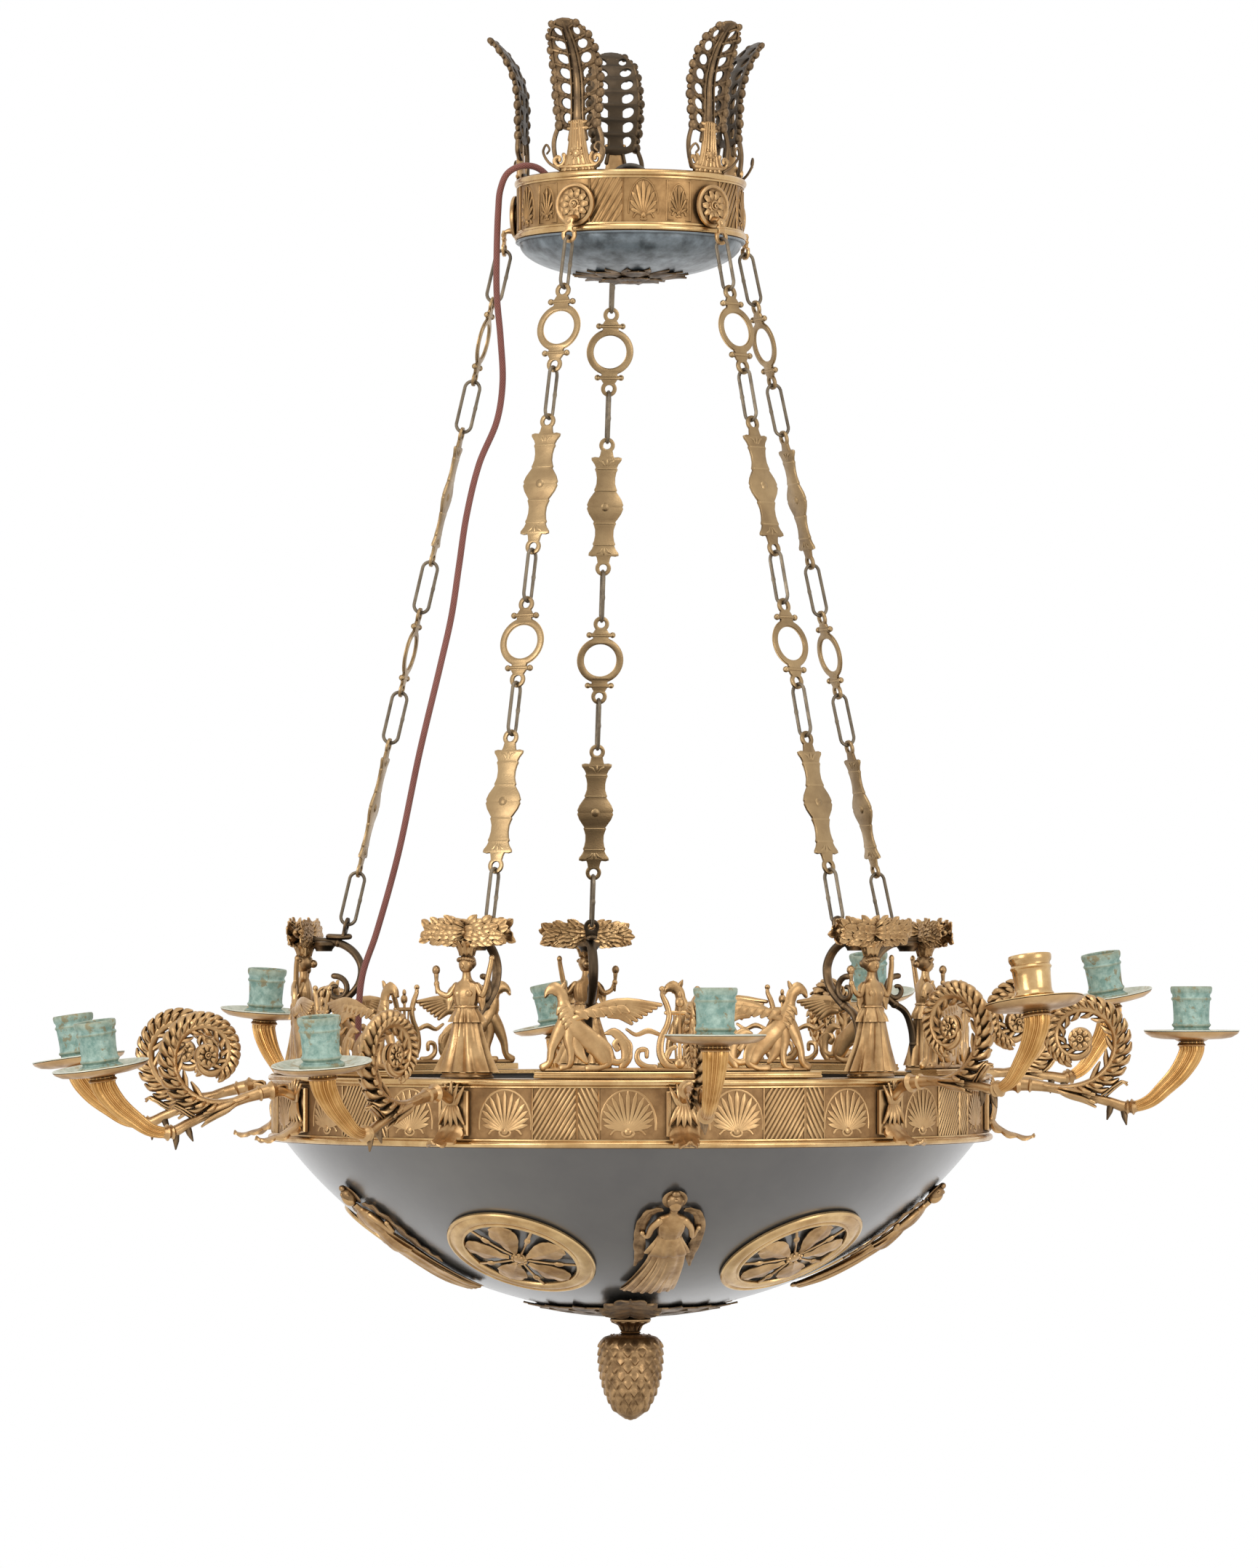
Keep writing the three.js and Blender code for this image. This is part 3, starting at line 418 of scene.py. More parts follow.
# %% Make a flat pierced piece
def pierced(outline, holes=(), thickness=2.4, rounding=0.5):
    """A flat shape in x and y, its thickness about z = 0, with rounded edges."""
    curve = bpy.data.curves.new("outline", "CURVE")
    curve.dimensions = "2D"
    curve.fill_mode = "BOTH"
    curve.extrude = thickness / 2 - rounding
    curve.bevel_depth = rounding
    curve.bevel_resolution = 1
    curve.offset = -rounding
    for path in (outline, *holes):
        spline = curve.splines.new("POLY")
        spline.points.add(len(path) - 1)
        for point, (x, y) in zip(spline.points, path):
            point.co = (x, y, 0, 1)
        spline.use_cyclic_u = True
    holder = bpy.data.objects.new("outline", curve)
    bpy.context.scene.collection.objects.link(holder)
    mesh = holder.evaluated_get(bpy.context.evaluated_depsgraph_get()).to_mesh()
    work = bmesh.new()
    work.from_mesh(mesh)
    bmesh.ops.remove_doubles(work, verts=work.verts, dist=1e-4)
    points = np.array([v.co for v in work.verts])
    work.verts.index_update()
    faces = [[v.index for v in face.verts] for face in work.faces]
    work.free()
    bpy.data.objects.remove(holder)
    bpy.data.curves.remove(curve)
    return points, faces


def both_sides(half):
    """A right half outline with its mirror image."""
    left = [(-x, y) for x, y in half if abs(x) > 1e-6]
    return [*half, *left[::-1]]


def circle(radius, count=32, x=0.0, y=0.0):
    return [(x + radius * math.cos(a), y + radius * math.sin(a))
            for a in (i * 2 * math.pi / count for i in range(count))]


def arc(radius, start, end, count, y=0.0):
    """Points on a circle about (0, y), from one angle to another."""
    return [(radius * math.cos(a), y + radius * math.sin(a)) for a in np.linspace(start, end, count)]


def ball(radius, centre=(0, 0, 0), stretch=(1, 1, 1), sides=14, rows=9):
    """A cast bead, drawn as a turned shape with small flats at its poles."""
    profile = [(radius * math.sin(math.pi * (0.03 + 0.94 * i / (rows - 1))),
                -radius * math.cos(math.pi * (0.03 + 0.94 * i / (rows - 1)))) for i in range(rows)]
    points, faces = turned([(0.01, profile[0][1]), *profile, (0.01, profile[-1][1])], sides)
    return points * np.array(stretch, float) + np.array(centre, float), faces


# %% [markdown]
# ## From shapes to pieces
# A piece is one mesh on one body of the frame. Faces are shaded smooth, apart from edges sharper than a
# crease angle. Each piece hides the plain solid that it stands for.

# %% Make a piece
def piece(name, parts, body, stands_for=(), crease=38):
    """parts is a list of (material, shapes). Everything in it is one mesh that rides on the body."""
    mesh = bpy.data.meshes.new(name)
    points, faces = joined([shape for _, shapes in parts for shape in shapes])
    mesh.from_pydata((points * MM).tolist(), [], faces)
    numbers = np.repeat(np.arange(len(parts)), [sum(len(f) for _, f in shapes) for _, shapes in parts])
    mesh.polygons.foreach_set("material_index", numbers.astype(np.int32))
    for material, _ in parts:
        mesh.materials.append(material)
    work = bmesh.new()
    work.from_mesh(mesh)
    bmesh.ops.recalc_face_normals(work, faces=work.faces)
    work.to_mesh(mesh)
    work.free()
    mesh.polygons.foreach_set("use_smooth", np.ones(len(mesh.polygons), bool))
    mesh.set_sharp_from_angle(angle=math.radians(crease))
    made = bpy.data.objects.new(name, mesh)
    bpy.context.scene.collection.objects.link(made)
    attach(made, body)
    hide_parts(*stands_for)
    return made


# %% [markdown]
# ## Finishes
# Old bronze is never one colour. Gilding wears off the high places to brown bronze or, where hands and cloths
# reach, to bright metal, and dirt stays in the low places. The finish mixes three colours: a broad patchy
# wear, a bright edge where the surface turns sharply outwards, and a dark colour that ambient occlusion mixes
# into hollows, corners and the undersides near other parts. That is painted shade as well as the dirt there.
# Sides that face the axis can be painted darker too, a painted shade. The grain is the skin that a sand mould
# leaves, a fraction of a millimetre high.

# %% Worn cast metal
def cast_metal(name, bright, body, recess_shade_and_dirt, rough=(0.3, 0.5), patch=22, grain=1.1, relief=0.12, metallic=1.0,
               dirt_and_shade=0.85, reach=5.0, rubbed=None, inward_shade=None, bare=None, coat=0.0, coat_rough=0.3):
    """bright, body, recess_shade_and_dirt and rubbed, for the edges, are hex colours. patch and grain are
    sizes in mm, and relief is a depth in mm. recess_shade_and_dirt is mixed in by ambient occlusion within
    reach mm, by the
    share dirt_and_shade: painted shade in hollows and under other parts, and the dirt there. inward_shade is
    a painted shade on the sides that face the axis, bare is what shows where the coating has flaked, and coat
    is how much lacquer there is."""
    material, tree = new_material(name)
    place = add(tree, "TexCoord").outputs["Object"]
    patches = noise(tree, place, patch, 5.0, 0.62)
    skin_grain = noise(tree, place, grain, 3.0)
    layer = mixed(tree, remapped(tree, patches, 0.36, 0.66), body, bright)
    edge = remapped(tree, add(tree, "NewGeometry").outputs["Pointiness"], 0.505, 0.60, to_high=0.75)
    # Painted shade: the sides that face the axis are darkened towards the inward_shade colour.
    if inward_shade:
        flat_place = add(tree, "VectorMath", {0: place, 1: (1, 1, 0)}, operation="MULTIPLY").outputs[0]
        outward = add(tree, "VectorMath", {0: flat_place}, operation="NORMALIZE").outputs[0]
        facing = add(tree, "VectorMath", {0: outward, 1: add(tree, "TexCoord").outputs["Normal"]},
                     operation="DOT_PRODUCT").outputs["Value"]
        layer = mixed(tree, remapped(tree, facing, 0.25, -0.15), layer, inward_shade)
    if bare:
        flakes = noise(tree, place, patch * 1.7, 4.0, 0.7)
        layer = mixed(tree, remapped(tree, flakes, 0.55, 0.62, to_high=0.8), layer, bare)
    lit = mixed(tree, edge, layer, rubbed or bright)
    # Painted shade: ambient occlusion darkens hollows, corners and undersides near other parts towards
    # recess_shade_and_dirt, which stands for dirt there too.
    hollow_shade = add(tree, "AmbientOcclusion", {"Distance": reach * MM}, samples=6).outputs["AO"]
    dirt_and_shade_share = worked_out(tree, "MULTIPLY", remapped(tree, hollow_shade, 0.82, 0.3, to_high=dirt_and_shade),
                       remapped(tree, skin_grain, 0.3, 0.7, 0.75, 1.1), use_clamp=True)
    colour = mixed(tree, dirt_and_shade_share, lit, recess_shade_and_dirt)
    polish = remapped(tree, patches, 0.35, 0.7, rough[1], rough[0])
    dulled = worked_out(tree, "MULTIPLY_ADD", dirt_and_shade_share, 0.3, polish, use_clamp=True)
    bump = add(tree, "Bump", {"Height": skin_grain, "Distance": relief * MM, "Strength": 0.6}).outputs[0]
    shader = add(tree, "BsdfPrincipled", {"Base Color": colour, "Metallic": metallic, "Roughness": dulled,
                                          "Normal": bump, "Coat Weight": coat, "Coat Roughness": coat_rough})
    add(tree, "OutputMaterial", {"Surface": shader.outputs[0]})
    return material


# %% Mix the finishes
worn_gilt = cast_metal("fire-gilt bronze, cast and worn", "#CBA676", "#94714A", "#35271B", rough=(0.24, 0.46),
                       dirt_and_shade=0.92, reach=6.0)
dulled_gilt = cast_metal("fire-gilt bronze, dulled", "#AE895C", "#7C5D3B", "#33261B", rough=(0.34, 0.52),
                         patch=16)
horn_gilt = cast_metal("fire-gilt bronze, yellow and fluted", "#E0B272", "#B58346", "#4A3216",
                       rough=(0.2, 0.38), patch=26, dirt_and_shade=0.9)
burnished_gilt = cast_metal("fire-gilt bronze, burnished mouldings", "#DCBA86", "#AE8858", "#4A3625",
                            rough=(0.16, 0.32), patch=30, grain=1.6, relief=0.05, dirt_and_shade=0.7)
matte_gilt = cast_metal("fire-gilt bronze, punched matte ground", "#A58259", "#806141", "#33261B",
                        rough=(0.45, 0.62), patch=14, grain=0.9, relief=0.25)
# The dark bronze is painted darker on its sides that face the axis, a painted shade.
palm_bronze = cast_metal("patinated bronze, dark, with painted inward shade", "#967A59", "#57483A", "#1D1813", rough=(0.34, 0.56),
                         patch=12, dirt_and_shade=0.95, reach=6.0, rubbed="#82694C", inward_shade="#2F2C28")
brown_bronze = cast_metal("patinated bronze, brown", "#B29067", "#6C5339", "#261D16", rough=(0.32, 0.52),
                          patch=10, dirt_and_shade=0.95, reach=6.0)
chain_gilt = cast_metal("gilt bronze, filed flat chain links", "#B2966E", "#7F674A", "#35291E",
                        rough=(0.28, 0.45), patch=35)
wire_iron = cast_metal("iron wire, drawn and browned", "#8A7C68", "#5A5148", "#2A241F",
                       rough=(0.4, 0.6), patch=9, metallic=0.9)
forged_iron = cast_metal("wrought iron, forged and blackened", "#6A6258", "#3F3A35", "#1D1A18",
                         rough=(0.45, 0.65), patch=7, relief=0.3, metallic=0.85)
bowl_metal = cast_metal("sheet copper, patinated dark grey and waxed", "#5E5A54", "#504C49", "#332F2C",
                        rough=(0.34, 0.42), patch=150, grain=2.5, relief=0.02, metallic=0.35, dirt_and_shade=0.3,
                        reach=5, coat=1.0, coat_rough=0.22)
dish_metal = cast_metal("painted sheet metal, blue grey", "#788288", "#353D41", "#1F1D1B",
                        rough=(0.3, 0.46), patch=13, grain=1.4, relief=0.08, metallic=0.25, dirt_and_shade=0.9,
                        reach=12, coat=0.6)
pan_metal = cast_metal("tinned brass, pale with verdigris", "#E2E0CE", "#B9BDA8", "#5A5A45",
                       rough=(0.35, 0.55), patch=9, metallic=0.4, dirt_and_shade=0.7, bare="#B4A078")
verdigris = cast_metal("brass with verdigris, flaking", "#B4CCC0", "#7FA096", "#3A4638",
                       rough=(0.55, 0.75), patch=6, grain=0.8, relief=0.3, metallic=0.15, dirt_and_shade=0.85,
                       reach=7.0, rubbed="#A8976C", bare="#93835C")
print("finishes:", len(bpy.data.materials))

# %% [markdown]
# ## The flex
# The chandelier was wired later with a red-brown flex covered in braided silk. It leaves a gland inside the
# coronet, goes over the band's edge, hangs beside a chain and lies across the bowl's floor to a gland on the
# tie rod. It is a mesh tube, so that the braid can follow its length. The route repeats the model's own.

# %% Find the flex's line
FLEX_RADIUS = 2.6
THREAD_WIDTH, WAVES_AT_SCALE_ONE = 1.5, 3.2
flex_route = [
    (268, 62, -39.7), (268, 62, -30), (268, 62.5, -18), (268, 67, -6), (268, 76, 0.5), (268, 88, 0.8),
    (267.5, 98, -5), (267, 103.5, -18), (266, 105, -34), (264, 106, -65), (262, 106, -100),
    (261, 103, -135), (260, 101.5, -170), (260, 106, -200), (260, 120, -234), (260, 130, -275),
    (260, 136, -315), (260, 142, -355), (260, 151, -395), (261, 167, -463), (261, 184, -544),
    (262, 201, -606), (263, 212, -640), (263, 215, -680), (263, 213, -730), (262, 205, -780),
    (261, 185, -823), (261, 158, -849.5), (261, 127, -871), (261, 100, -883.5), (261, 77, -888),
    (261, 60, -886), (261, 48, -877), (261, 42.5, -862), (261, 38, -848), (261, 29, -839.5),
    (261, 17, -838.5), (261, 6, -845), (261, 0.8, -855), (261, 0, -864),
]


def from_polar(azimuth, radius, height):
    angle = math.radians(azimuth)
    return (radius * math.sin(angle), -radius * math.cos(angle), height)


flex_line = smooth_line([from_polar(*point) for point in flex_route], 12)
flex_steps = np.linalg.norm(np.diff(flex_line, axis=0), axis=1)
flex_along = np.concatenate([[0], np.cumsum(flex_steps)])


# %% Braid the flex
def flex_finish():
    """Braided silk over rubber: two sets of threads cross at a slant, dull, and faded along the length. The
    gaps between the threads are a painted shade.
    """
    material, tree = new_material("braided silk flex, red brown")
    uv = add(tree, "UVMap", uv_map="along_flex").outputs[0]
    threads = []
    for slant in (-52, 52):
        turned_uv = add(tree, "Mapping", {"Vector": uv, "Rotation": (0, 0, math.radians(slant))}).outputs[0]
        wave = add(tree, "TexWave", {"Vector": turned_uv, "Scale": 1 / THREAD_WIDTH / WAVES_AT_SCALE_ONE,
                                     "Distortion": 0.3})
        threads.append(wave.outputs["Fac"])
    weave = worked_out(tree, "MAXIMUM", *threads)
    faded = noise(tree, add(tree, "TexCoord").outputs["Object"], 38, 3.0)
    # Painted shade: the gaps between the threads are darkened, and the crests of the threads a little
    # lightened.
    thread_gap_shade = remapped(tree, weave, 0.2, 0.9, 0.45, 1.05)
    shaded = mixed(tree, 1.0, mixed(tree, faded, "#7C4236", "#A2665A"), thread_gap_shade, blend_type="MULTIPLY")
    bump = add(tree, "Bump", {"Height": weave, "Distance": 0.25 * MM, "Strength": 0.8}).outputs[0]
    shader = add(tree, "BsdfPrincipled", {"Base Color": shaded, "Roughness": 0.78, "Sheen Weight": 0.25,
                                          "Normal": bump})
    add(tree, "OutputMaterial", {"Surface": shader.outputs[0]})
    return material


# %% Lay the flex
flex_sides = 14
flex = piece("flex_cord_braided",
             [(flex_finish(), [bar(flex_line, FLEX_RADIUS, sides=flex_sides, rounding=0.1)])],
             "basin", ["flex_cord"])
flex_map = flex.data.uv_layers.new(name="along_flex")
# The bar has two more rings at its start, which round its end off.
for polygon in flex.data.polygons:
    rows = [flex.data.loops[i].vertex_index // flex_sides - 2 for i in polygon.loop_indices]
    turns = [flex.data.loops[i].vertex_index % flex_sides for i in polygon.loop_indices]
    if max(turns) - min(turns) > flex_sides / 2:
        turns = [turn + flex_sides if turn < flex_sides / 2 else turn for turn in turns]
    for loop, row, turn in zip(polygon.loop_indices, rows, turns):
        reach = flex_along[min(max(row, 0), len(flex_along) - 1)]
        flex_map.data[loop].uv = (reach, turn / flex_sides * 2 * math.pi * FLEX_RADIUS)

# %% [markdown]
# ## The ring and the iron spider
# A smith's ring holds everything. Under it stands the eye of a spider with five legs, which press against the
# band behind the roundels, and a rod that goes down through the dish to a leaf rosette.

# %% Make the ring
FIFTH, TENTH = 72, 36
CHAIN_AZIMUTHS = [TENTH + FIFTH * i for i in range(5)]
RING_CENTRE, RING_RADIUS, RING_WIRE = -13.7, 16.0, 2.3


def hoop_line(radius, height, count=48, upright=None):
    """A circle, flat at a height, or standing in the plane through the axis and the direction upright."""
    angles = np.arange(count) * 2 * math.pi / count
    cos, sin = np.cos(angles) * radius, np.sin(angles) * radius
    if upright == "x":
        return np.stack([cos, np.zeros(count), height + sin], 1)
    if upright == "y":
        return np.stack([np.zeros(count), cos, height + sin], 1)
    return np.stack([sin, -cos, np.full(count, height)], 1)


ring_weld = bar([(11.0, 0, RING_CENTRE - 11.4), (13.6, 0, RING_CENTRE - 8.4), (15.2, 0, RING_CENTRE - 5)],
                [2.2, 2.75, 2.2], sides=12)
ring = bar(hoop_line(RING_RADIUS, RING_CENTRE, 64, "x"), RING_WIRE, sides=14, closed=True)
piece("ring_forged", [(forged_iron, [ring, ring_weld])], "hanger", ["suspension_ring"])


# %% Make the spider and its rosette
EYE_CENTRE, EYE_RADIUS, EYE_WIRE = -33.6, 9.0, 2.5
LEG_TOP, LEG_HALF = -46.5, 1.75
LEG_MIDDLE = LEG_TOP - LEG_HALF
SPIDER_FOOT = -86.0
DISH_RIM, DISH_RADIUS, DISH_DEPTH = -59.9, 88.0, 27.4


def dish_height(radius):
    """The underside of the dish, half an ellipse."""
    return DISH_RIM - DISH_DEPTH * math.sqrt(max(0.0, 1 - (radius / DISH_RADIUS) ** 2))


def rosette_leaves(tips, radius, width, level, start=0.0, lift=2.0):
    """Leaves that lie under the dish, their tips on a circle."""
    shapes = []
    for i in range(tips):
        line = smooth_line([(0, -r, dish_height(r) - level - (lift if r > radius * 0.9 else 0))
                            for r in np.linspace(7, radius, 6)], 3)
        shape = leaf(line, [width * 0.35, width * 0.85, width, width * 0.75, 0.4], lobes=0, cup=-0.12,
                     rib=-0.9, thick=1.3, columns=9, sweep=0.0)
        shapes += bent([shape], around_axis(start + i * 360 / tips))
    return shapes


spider = [bar(hoop_line(EYE_RADIUS, EYE_CENTRE, 40, "y"), EYE_WIRE, sides=12, closed=True),
          turned([(0.01, LEG_TOP + 3), (4, LEG_TOP + 2.8), (8, LEG_TOP + 0.6), (8, LEG_TOP - 4),
                  (4, LEG_TOP - 5), (4, SPIDER_FOOT), (0.01, SPIDER_FOOT)], 32)]
for azimuth in CHAIN_AZIMUTHS:
    leg = rod([(0, -6, LEG_MIDDLE), (0, -40, LEG_MIDDLE), (0, -79, LEG_MIDDLE),
               (0, -83.2, LEG_TOP + 1), (0, -83.7, LEG_TOP + 6), (0, -83.7, LEG_TOP + 13)], 5,
              4.5, [LEG_HALF, LEG_HALF, LEG_HALF, 1.5, 1.25, 1.25], sides=8, side=X)
    spider += bent([leg], around_axis(azimuth))
gland = turned([(0.01, -39.9), (3.1, -39.9), (3.4, -40.4), (5, -40.4), (5, -43), (4.2, -43.6), (4.2, -50),
                (0.01, -50)], 24)
gland_azimuth, gland_radius, _ = flex_route[0]
spider += bent([gland], moved(*from_polar(gland_azimuth, gland_radius, 0)))
spider.append(bar([from_polar(252, 60, LEG_MIDDLE), from_polar(gland_azimuth, gland_radius, LEG_MIDDLE)],
                  LEG_HALF, 4.5, sides=8, side=Z))
rosette = [turned([(0.01, -87.6), (9, -87.8), (11, -89.2), (8, -91), (4, -91.6), (0.01, -91.8)], 32)]
rosette += rosette_leaves(16, 46, 6.6, 0.5, 11.25, 0.4)
rosette += rosette_leaves(8, 45, 11.5, 1.6, 0, 1.2)
rosette += rosette_leaves(8, 26, 7.5, 2.9, 22.5, 0.6)
piece("spider_and_rosette", [(forged_iron, spider), (palm_bronze, rosette)], "coronet", ["coronet_spider"])
print("spider faces:", face_count(spider + rosette))

# %% [markdown]
# ## Chased bands
# Both hoops carry the same kind of frieze between bright beads: palmettes, and panels of slanting reeds. On
# the real thing they were cast with the hoop and chased. Here each reed and each petal is a low bar that is
# drawn flat, (across, up, out), and then laid round the hoop, half sunk into it.

# %% Draw a palmette and a panel of reeds
FAN_ANGLE = 74
REED_OUT = 0.2
BEAD_HEIGHT, EDGE_HEIGHT = 5.2, 6.8


def palmette(height, petals, width):
    """A fan of pointed petals under an arch, over two small scrolls, its foot at the origin."""
    shapes = []
    foot = height * 0.15
    for i in range(petals):
        share = 2 * i / (petals - 1) - 1
        angle = math.radians(FAN_ANGLE * share)
        reach = height * (0.80 - 0.34 * abs(share) ** 1.5)
        across, up = math.sin(angle) * reach * width, math.cos(angle) * reach
        line = [(0.6 * share, foot, 0.0), (across * 0.5, foot + up * 0.46, 0.5),
                (across * 0.86, foot + up * 0.84, 0.4), (across + 1.2 * share, foot + up, 0.0)]
        shapes.append(rod(line, 3, height * np.array([0.016, 0.036, 0.046, 0.012]), 0.9, sides=6,
                          side=X if abs(share) < 0.7 else Y))
    arch = [(width * height * 0.56 * math.cos(a), foot + height * (0.14 + 0.68 * math.sin(a)), 0.0)
            for a in np.linspace(-0.15, math.pi + 0.15, 19)]
    shapes.append(bar(arch, 0.55, 0.8, sides=6, side=Z))
    for side in (-1, 1):
        scroll = [(side * (1.6 + (0.30 - 0.24 * t) * height * math.cos(5.2 * t) * width),
                   height * 0.10 + (0.15 - 0.11 * t) * height * math.sin(5.2 * t), 0.2)
                  for t in np.linspace(0, 1, 12)]
        shapes.append(bar(scroll, [0.8, 0.7, 0.6], 0.9, sides=6, side=Z))
    shapes.append(ball(height * 0.07, (0, foot, 0.2), (1, 1, 0.8), sides=10, rows=6))
    return shapes


def reeds(width, height, count, slant):
    """A panel of slanting reeds between two upright fillets, its foot at the origin."""
    shapes = []
    pitch = width / count
    run = height * slant
    for i in range(-count, 2 * count):
        low = np.array([-width / 2 + (i + 0.5) * pitch, 0.0])
        high = low + (run, height)
        stops = [np.clip((edge - low[0]) / run, 0, 1) for edge in (-width / 2 + 0.5, width / 2 - 0.5)]
        start, end = min(stops), max(stops)
        if end - start < 0.12:
            continue
        points = [(*(low + (high - low) * s), REED_OUT) for s in np.linspace(start, end, 3)]
        shapes.append(bar(points, [pitch * 0.24, pitch * 0.4, pitch * 0.24], 0.9, sides=8, side=X))
    for x in (-width / 2, width / 2):
        shapes.append(bar([(x, 0, 0), (x, height / 2, 0), (x, height, 0)], 0.7, 1.2, sides=6, side=X))
    return shapes


# %% Turn a moulded hoop, and lay a frieze on it
def moulded_hoop(radius, top, height, bead, wall, flange=0, sides=160):
    """A hoop with a bright rounded bead at its top and bottom edge. Returns its beads and its field apart."""
    field, bottom = radius - bead, top - height

    def roll(low, high):
        """The outside of one bead, from its lower edge to its upper one."""
        middle, half = (low + high) / 2, (high - low) / 2
        return [(radius - bead * 0.9 + bead * 0.9 * math.cos(a) ** 0.7, middle + half * math.sin(a))
                for a in np.linspace(-math.pi / 2 + 0.15, math.pi / 2 - 0.15, 11)]

    inner = field - wall
    lower = [(inner, bottom), (radius - bead * 0.6, bottom), *roll(bottom + 0.2, bottom + BEAD_HEIGHT),
             (field + 0.9, bottom + BEAD_HEIGHT + 0.3), (field + 0.9, bottom + BEAD_HEIGHT + 1.4),
             (field, bottom + BEAD_HEIGHT + 1.6), (inner, bottom + BEAD_HEIGHT + 1.6)]
    upper = [(inner, top - BEAD_HEIGHT - 1.6), (field, top - BEAD_HEIGHT - 1.6),
             (field + 0.9, top - BEAD_HEIGHT - 1.4), (field + 0.9, top - BEAD_HEIGHT - 0.3),
             *roll(top - BEAD_HEIGHT, top - 0.2), (radius - bead * 0.6, top)]
    if flange:
        upper += [(radius - flange + 0.8, top), (radius - flange, top - 0.8), (radius - flange, top - wall),
                  (inner, top - wall)]
    else:
        upper += [(inner, top)]
    middle = [(inner, bottom + BEAD_HEIGHT + 1.6), (field, bottom + BEAD_HEIGHT + 1.6),
              (field, top - BEAD_HEIGHT - 1.6), (inner, top - BEAD_HEIGHT - 1.6)]
    return [turned(upper, sides), turned(lower, sides)], [turned(middle, sides)]


def frieze(radius, base, azimuth, plan):
    """Lays a plan of (degrees from the azimuth, design) round a hoop."""
    shapes = []
    for offset, design in plan:
        shapes += bent(design, on_hoop(radius, azimuth + offset, base))
    return shapes


# %% [markdown]
# ## The coronet
# The band stands on a blue-grey dish, its own metal left plain on the inside. Five sectors of ornament lie
# between the five roundels.

# %% Make the coronet's band and dish
CORONET_TOP, CORONET_HEIGHT, CORONET_RADIUS, CORONET_BEAD, CORONET_WALL = -10.0, 48.0, 92.0, 2.7, 2.8
DISH_WALL = 1.6
coronet_beads, coronet_field = moulded_hoop(CORONET_RADIUS, CORONET_TOP, CORONET_HEIGHT, CORONET_BEAD,
                                            CORONET_WALL, sides=128)
FIELD_LOW = CORONET_TOP - CORONET_HEIGHT + EDGE_HEIGHT
FIELD_HEIGHT = CORONET_HEIGHT - 2 * EDGE_HEIGHT
coronet_reeds = reeds(27, FIELD_HEIGHT, 5, 0.6)
coronet_palmette = palmette(FIELD_HEIGHT, 9, 0.6)
coronet_frame = [bar([(x, 1.5 + y, 0) for x, y in ((-10, 0), (10, 0), (10, 31), (-10, 31))], 0.7, 0.9,
                     sides=6, closed=True)]
coronet_frame += bent(palmette(FIELD_HEIGHT * 0.8, 7, 0.5), moved(y=3))
coronet_plan = [(-20.5, coronet_reeds), (-1.5, coronet_palmette), (17, coronet_frame)]
coronet_relief = []
for i in range(5):
    coronet_relief += frieze(CORONET_RADIUS - CORONET_BEAD, FIELD_LOW, FIFTH * i, coronet_plan)
piece("coronet_band_chased", [(burnished_gilt, coronet_beads), (dulled_gilt, coronet_field),
                              (dulled_gilt, coronet_relief)], "coronet", ["coronet_band"])

dish_arc = np.linspace(0, math.acos(4.4 / DISH_RADIUS), 22)
dish_inner, dish_inner_depth = DISH_RADIUS - DISH_WALL, DISH_DEPTH - DISH_WALL
dish_profile = [(91, -58.3), (91.2, -59.1), (90.6, DISH_RIM),
                *[(DISH_RADIUS * math.cos(a), DISH_RIM - DISH_DEPTH * math.sin(a)) for a in dish_arc],
                *[(dish_inner * math.cos(a) + 0.2, DISH_RIM - dish_inner_depth * math.sin(a))
                  for a in dish_arc[::-1]],
                (dish_inner, -58.3)]
piece("coronet_dish_spun", [(dish_metal, [turned(dish_profile, 128)])], "coronet", ["coronet_dish"])
print("coronet ornament, shapes:", len(coronet_relief))

# %% [markdown]
# ## Palm fronds
# Five openwork fronds stand on the coronet and curl outwards. Each has a gilt stalk that widens to the foot,
# a line of buds along each edge, and two rows of open cells beside the midrib. They are drawn flat, with the
# height along the frond, and bent afterwards. The frond beside the flex lacks one scroll at its foot, where
# the flex needs room.

# %% Give a frond its bend and its width
FROND_BACK, FROND_FOOT = 85.4, -9.7
FROND_STRAIGHT, FROND_BEND, FROND_ANGLE = 60.0, 70.0, 53.0
FROND_LENGTH = FROND_STRAIGHT + FROND_BEND * math.radians(FROND_ANGLE)


def frond_bend(points):
    """(across, along, out) to the frond's own place over azimuth 0."""
    x, s, w = points.T
    angle = np.maximum(0, s - FROND_STRAIGHT) / FROND_BEND
    rise = np.minimum(s, FROND_STRAIGHT) + FROND_BEND * np.sin(angle)
    out = FROND_BACK + FROND_BEND * (1 - np.cos(angle)) + (w + 1.5) * np.cos(angle)
    return np.stack([x, -out, FROND_FOOT + rise - w * np.sin(angle)], 1)


def frond_width(s):
    """Half the frond's width: nearly even, and rounded off at the tip."""
    share = (s - 30) / (FROND_LENGTH - 30)
    widths = [17, 20, 22.5, 22, 20, 16.5, 11.5, 6]
    return float(np.interp(share, [0, 0.15, 0.4, 0.65, 0.8, 0.9, 0.96, 1], widths))


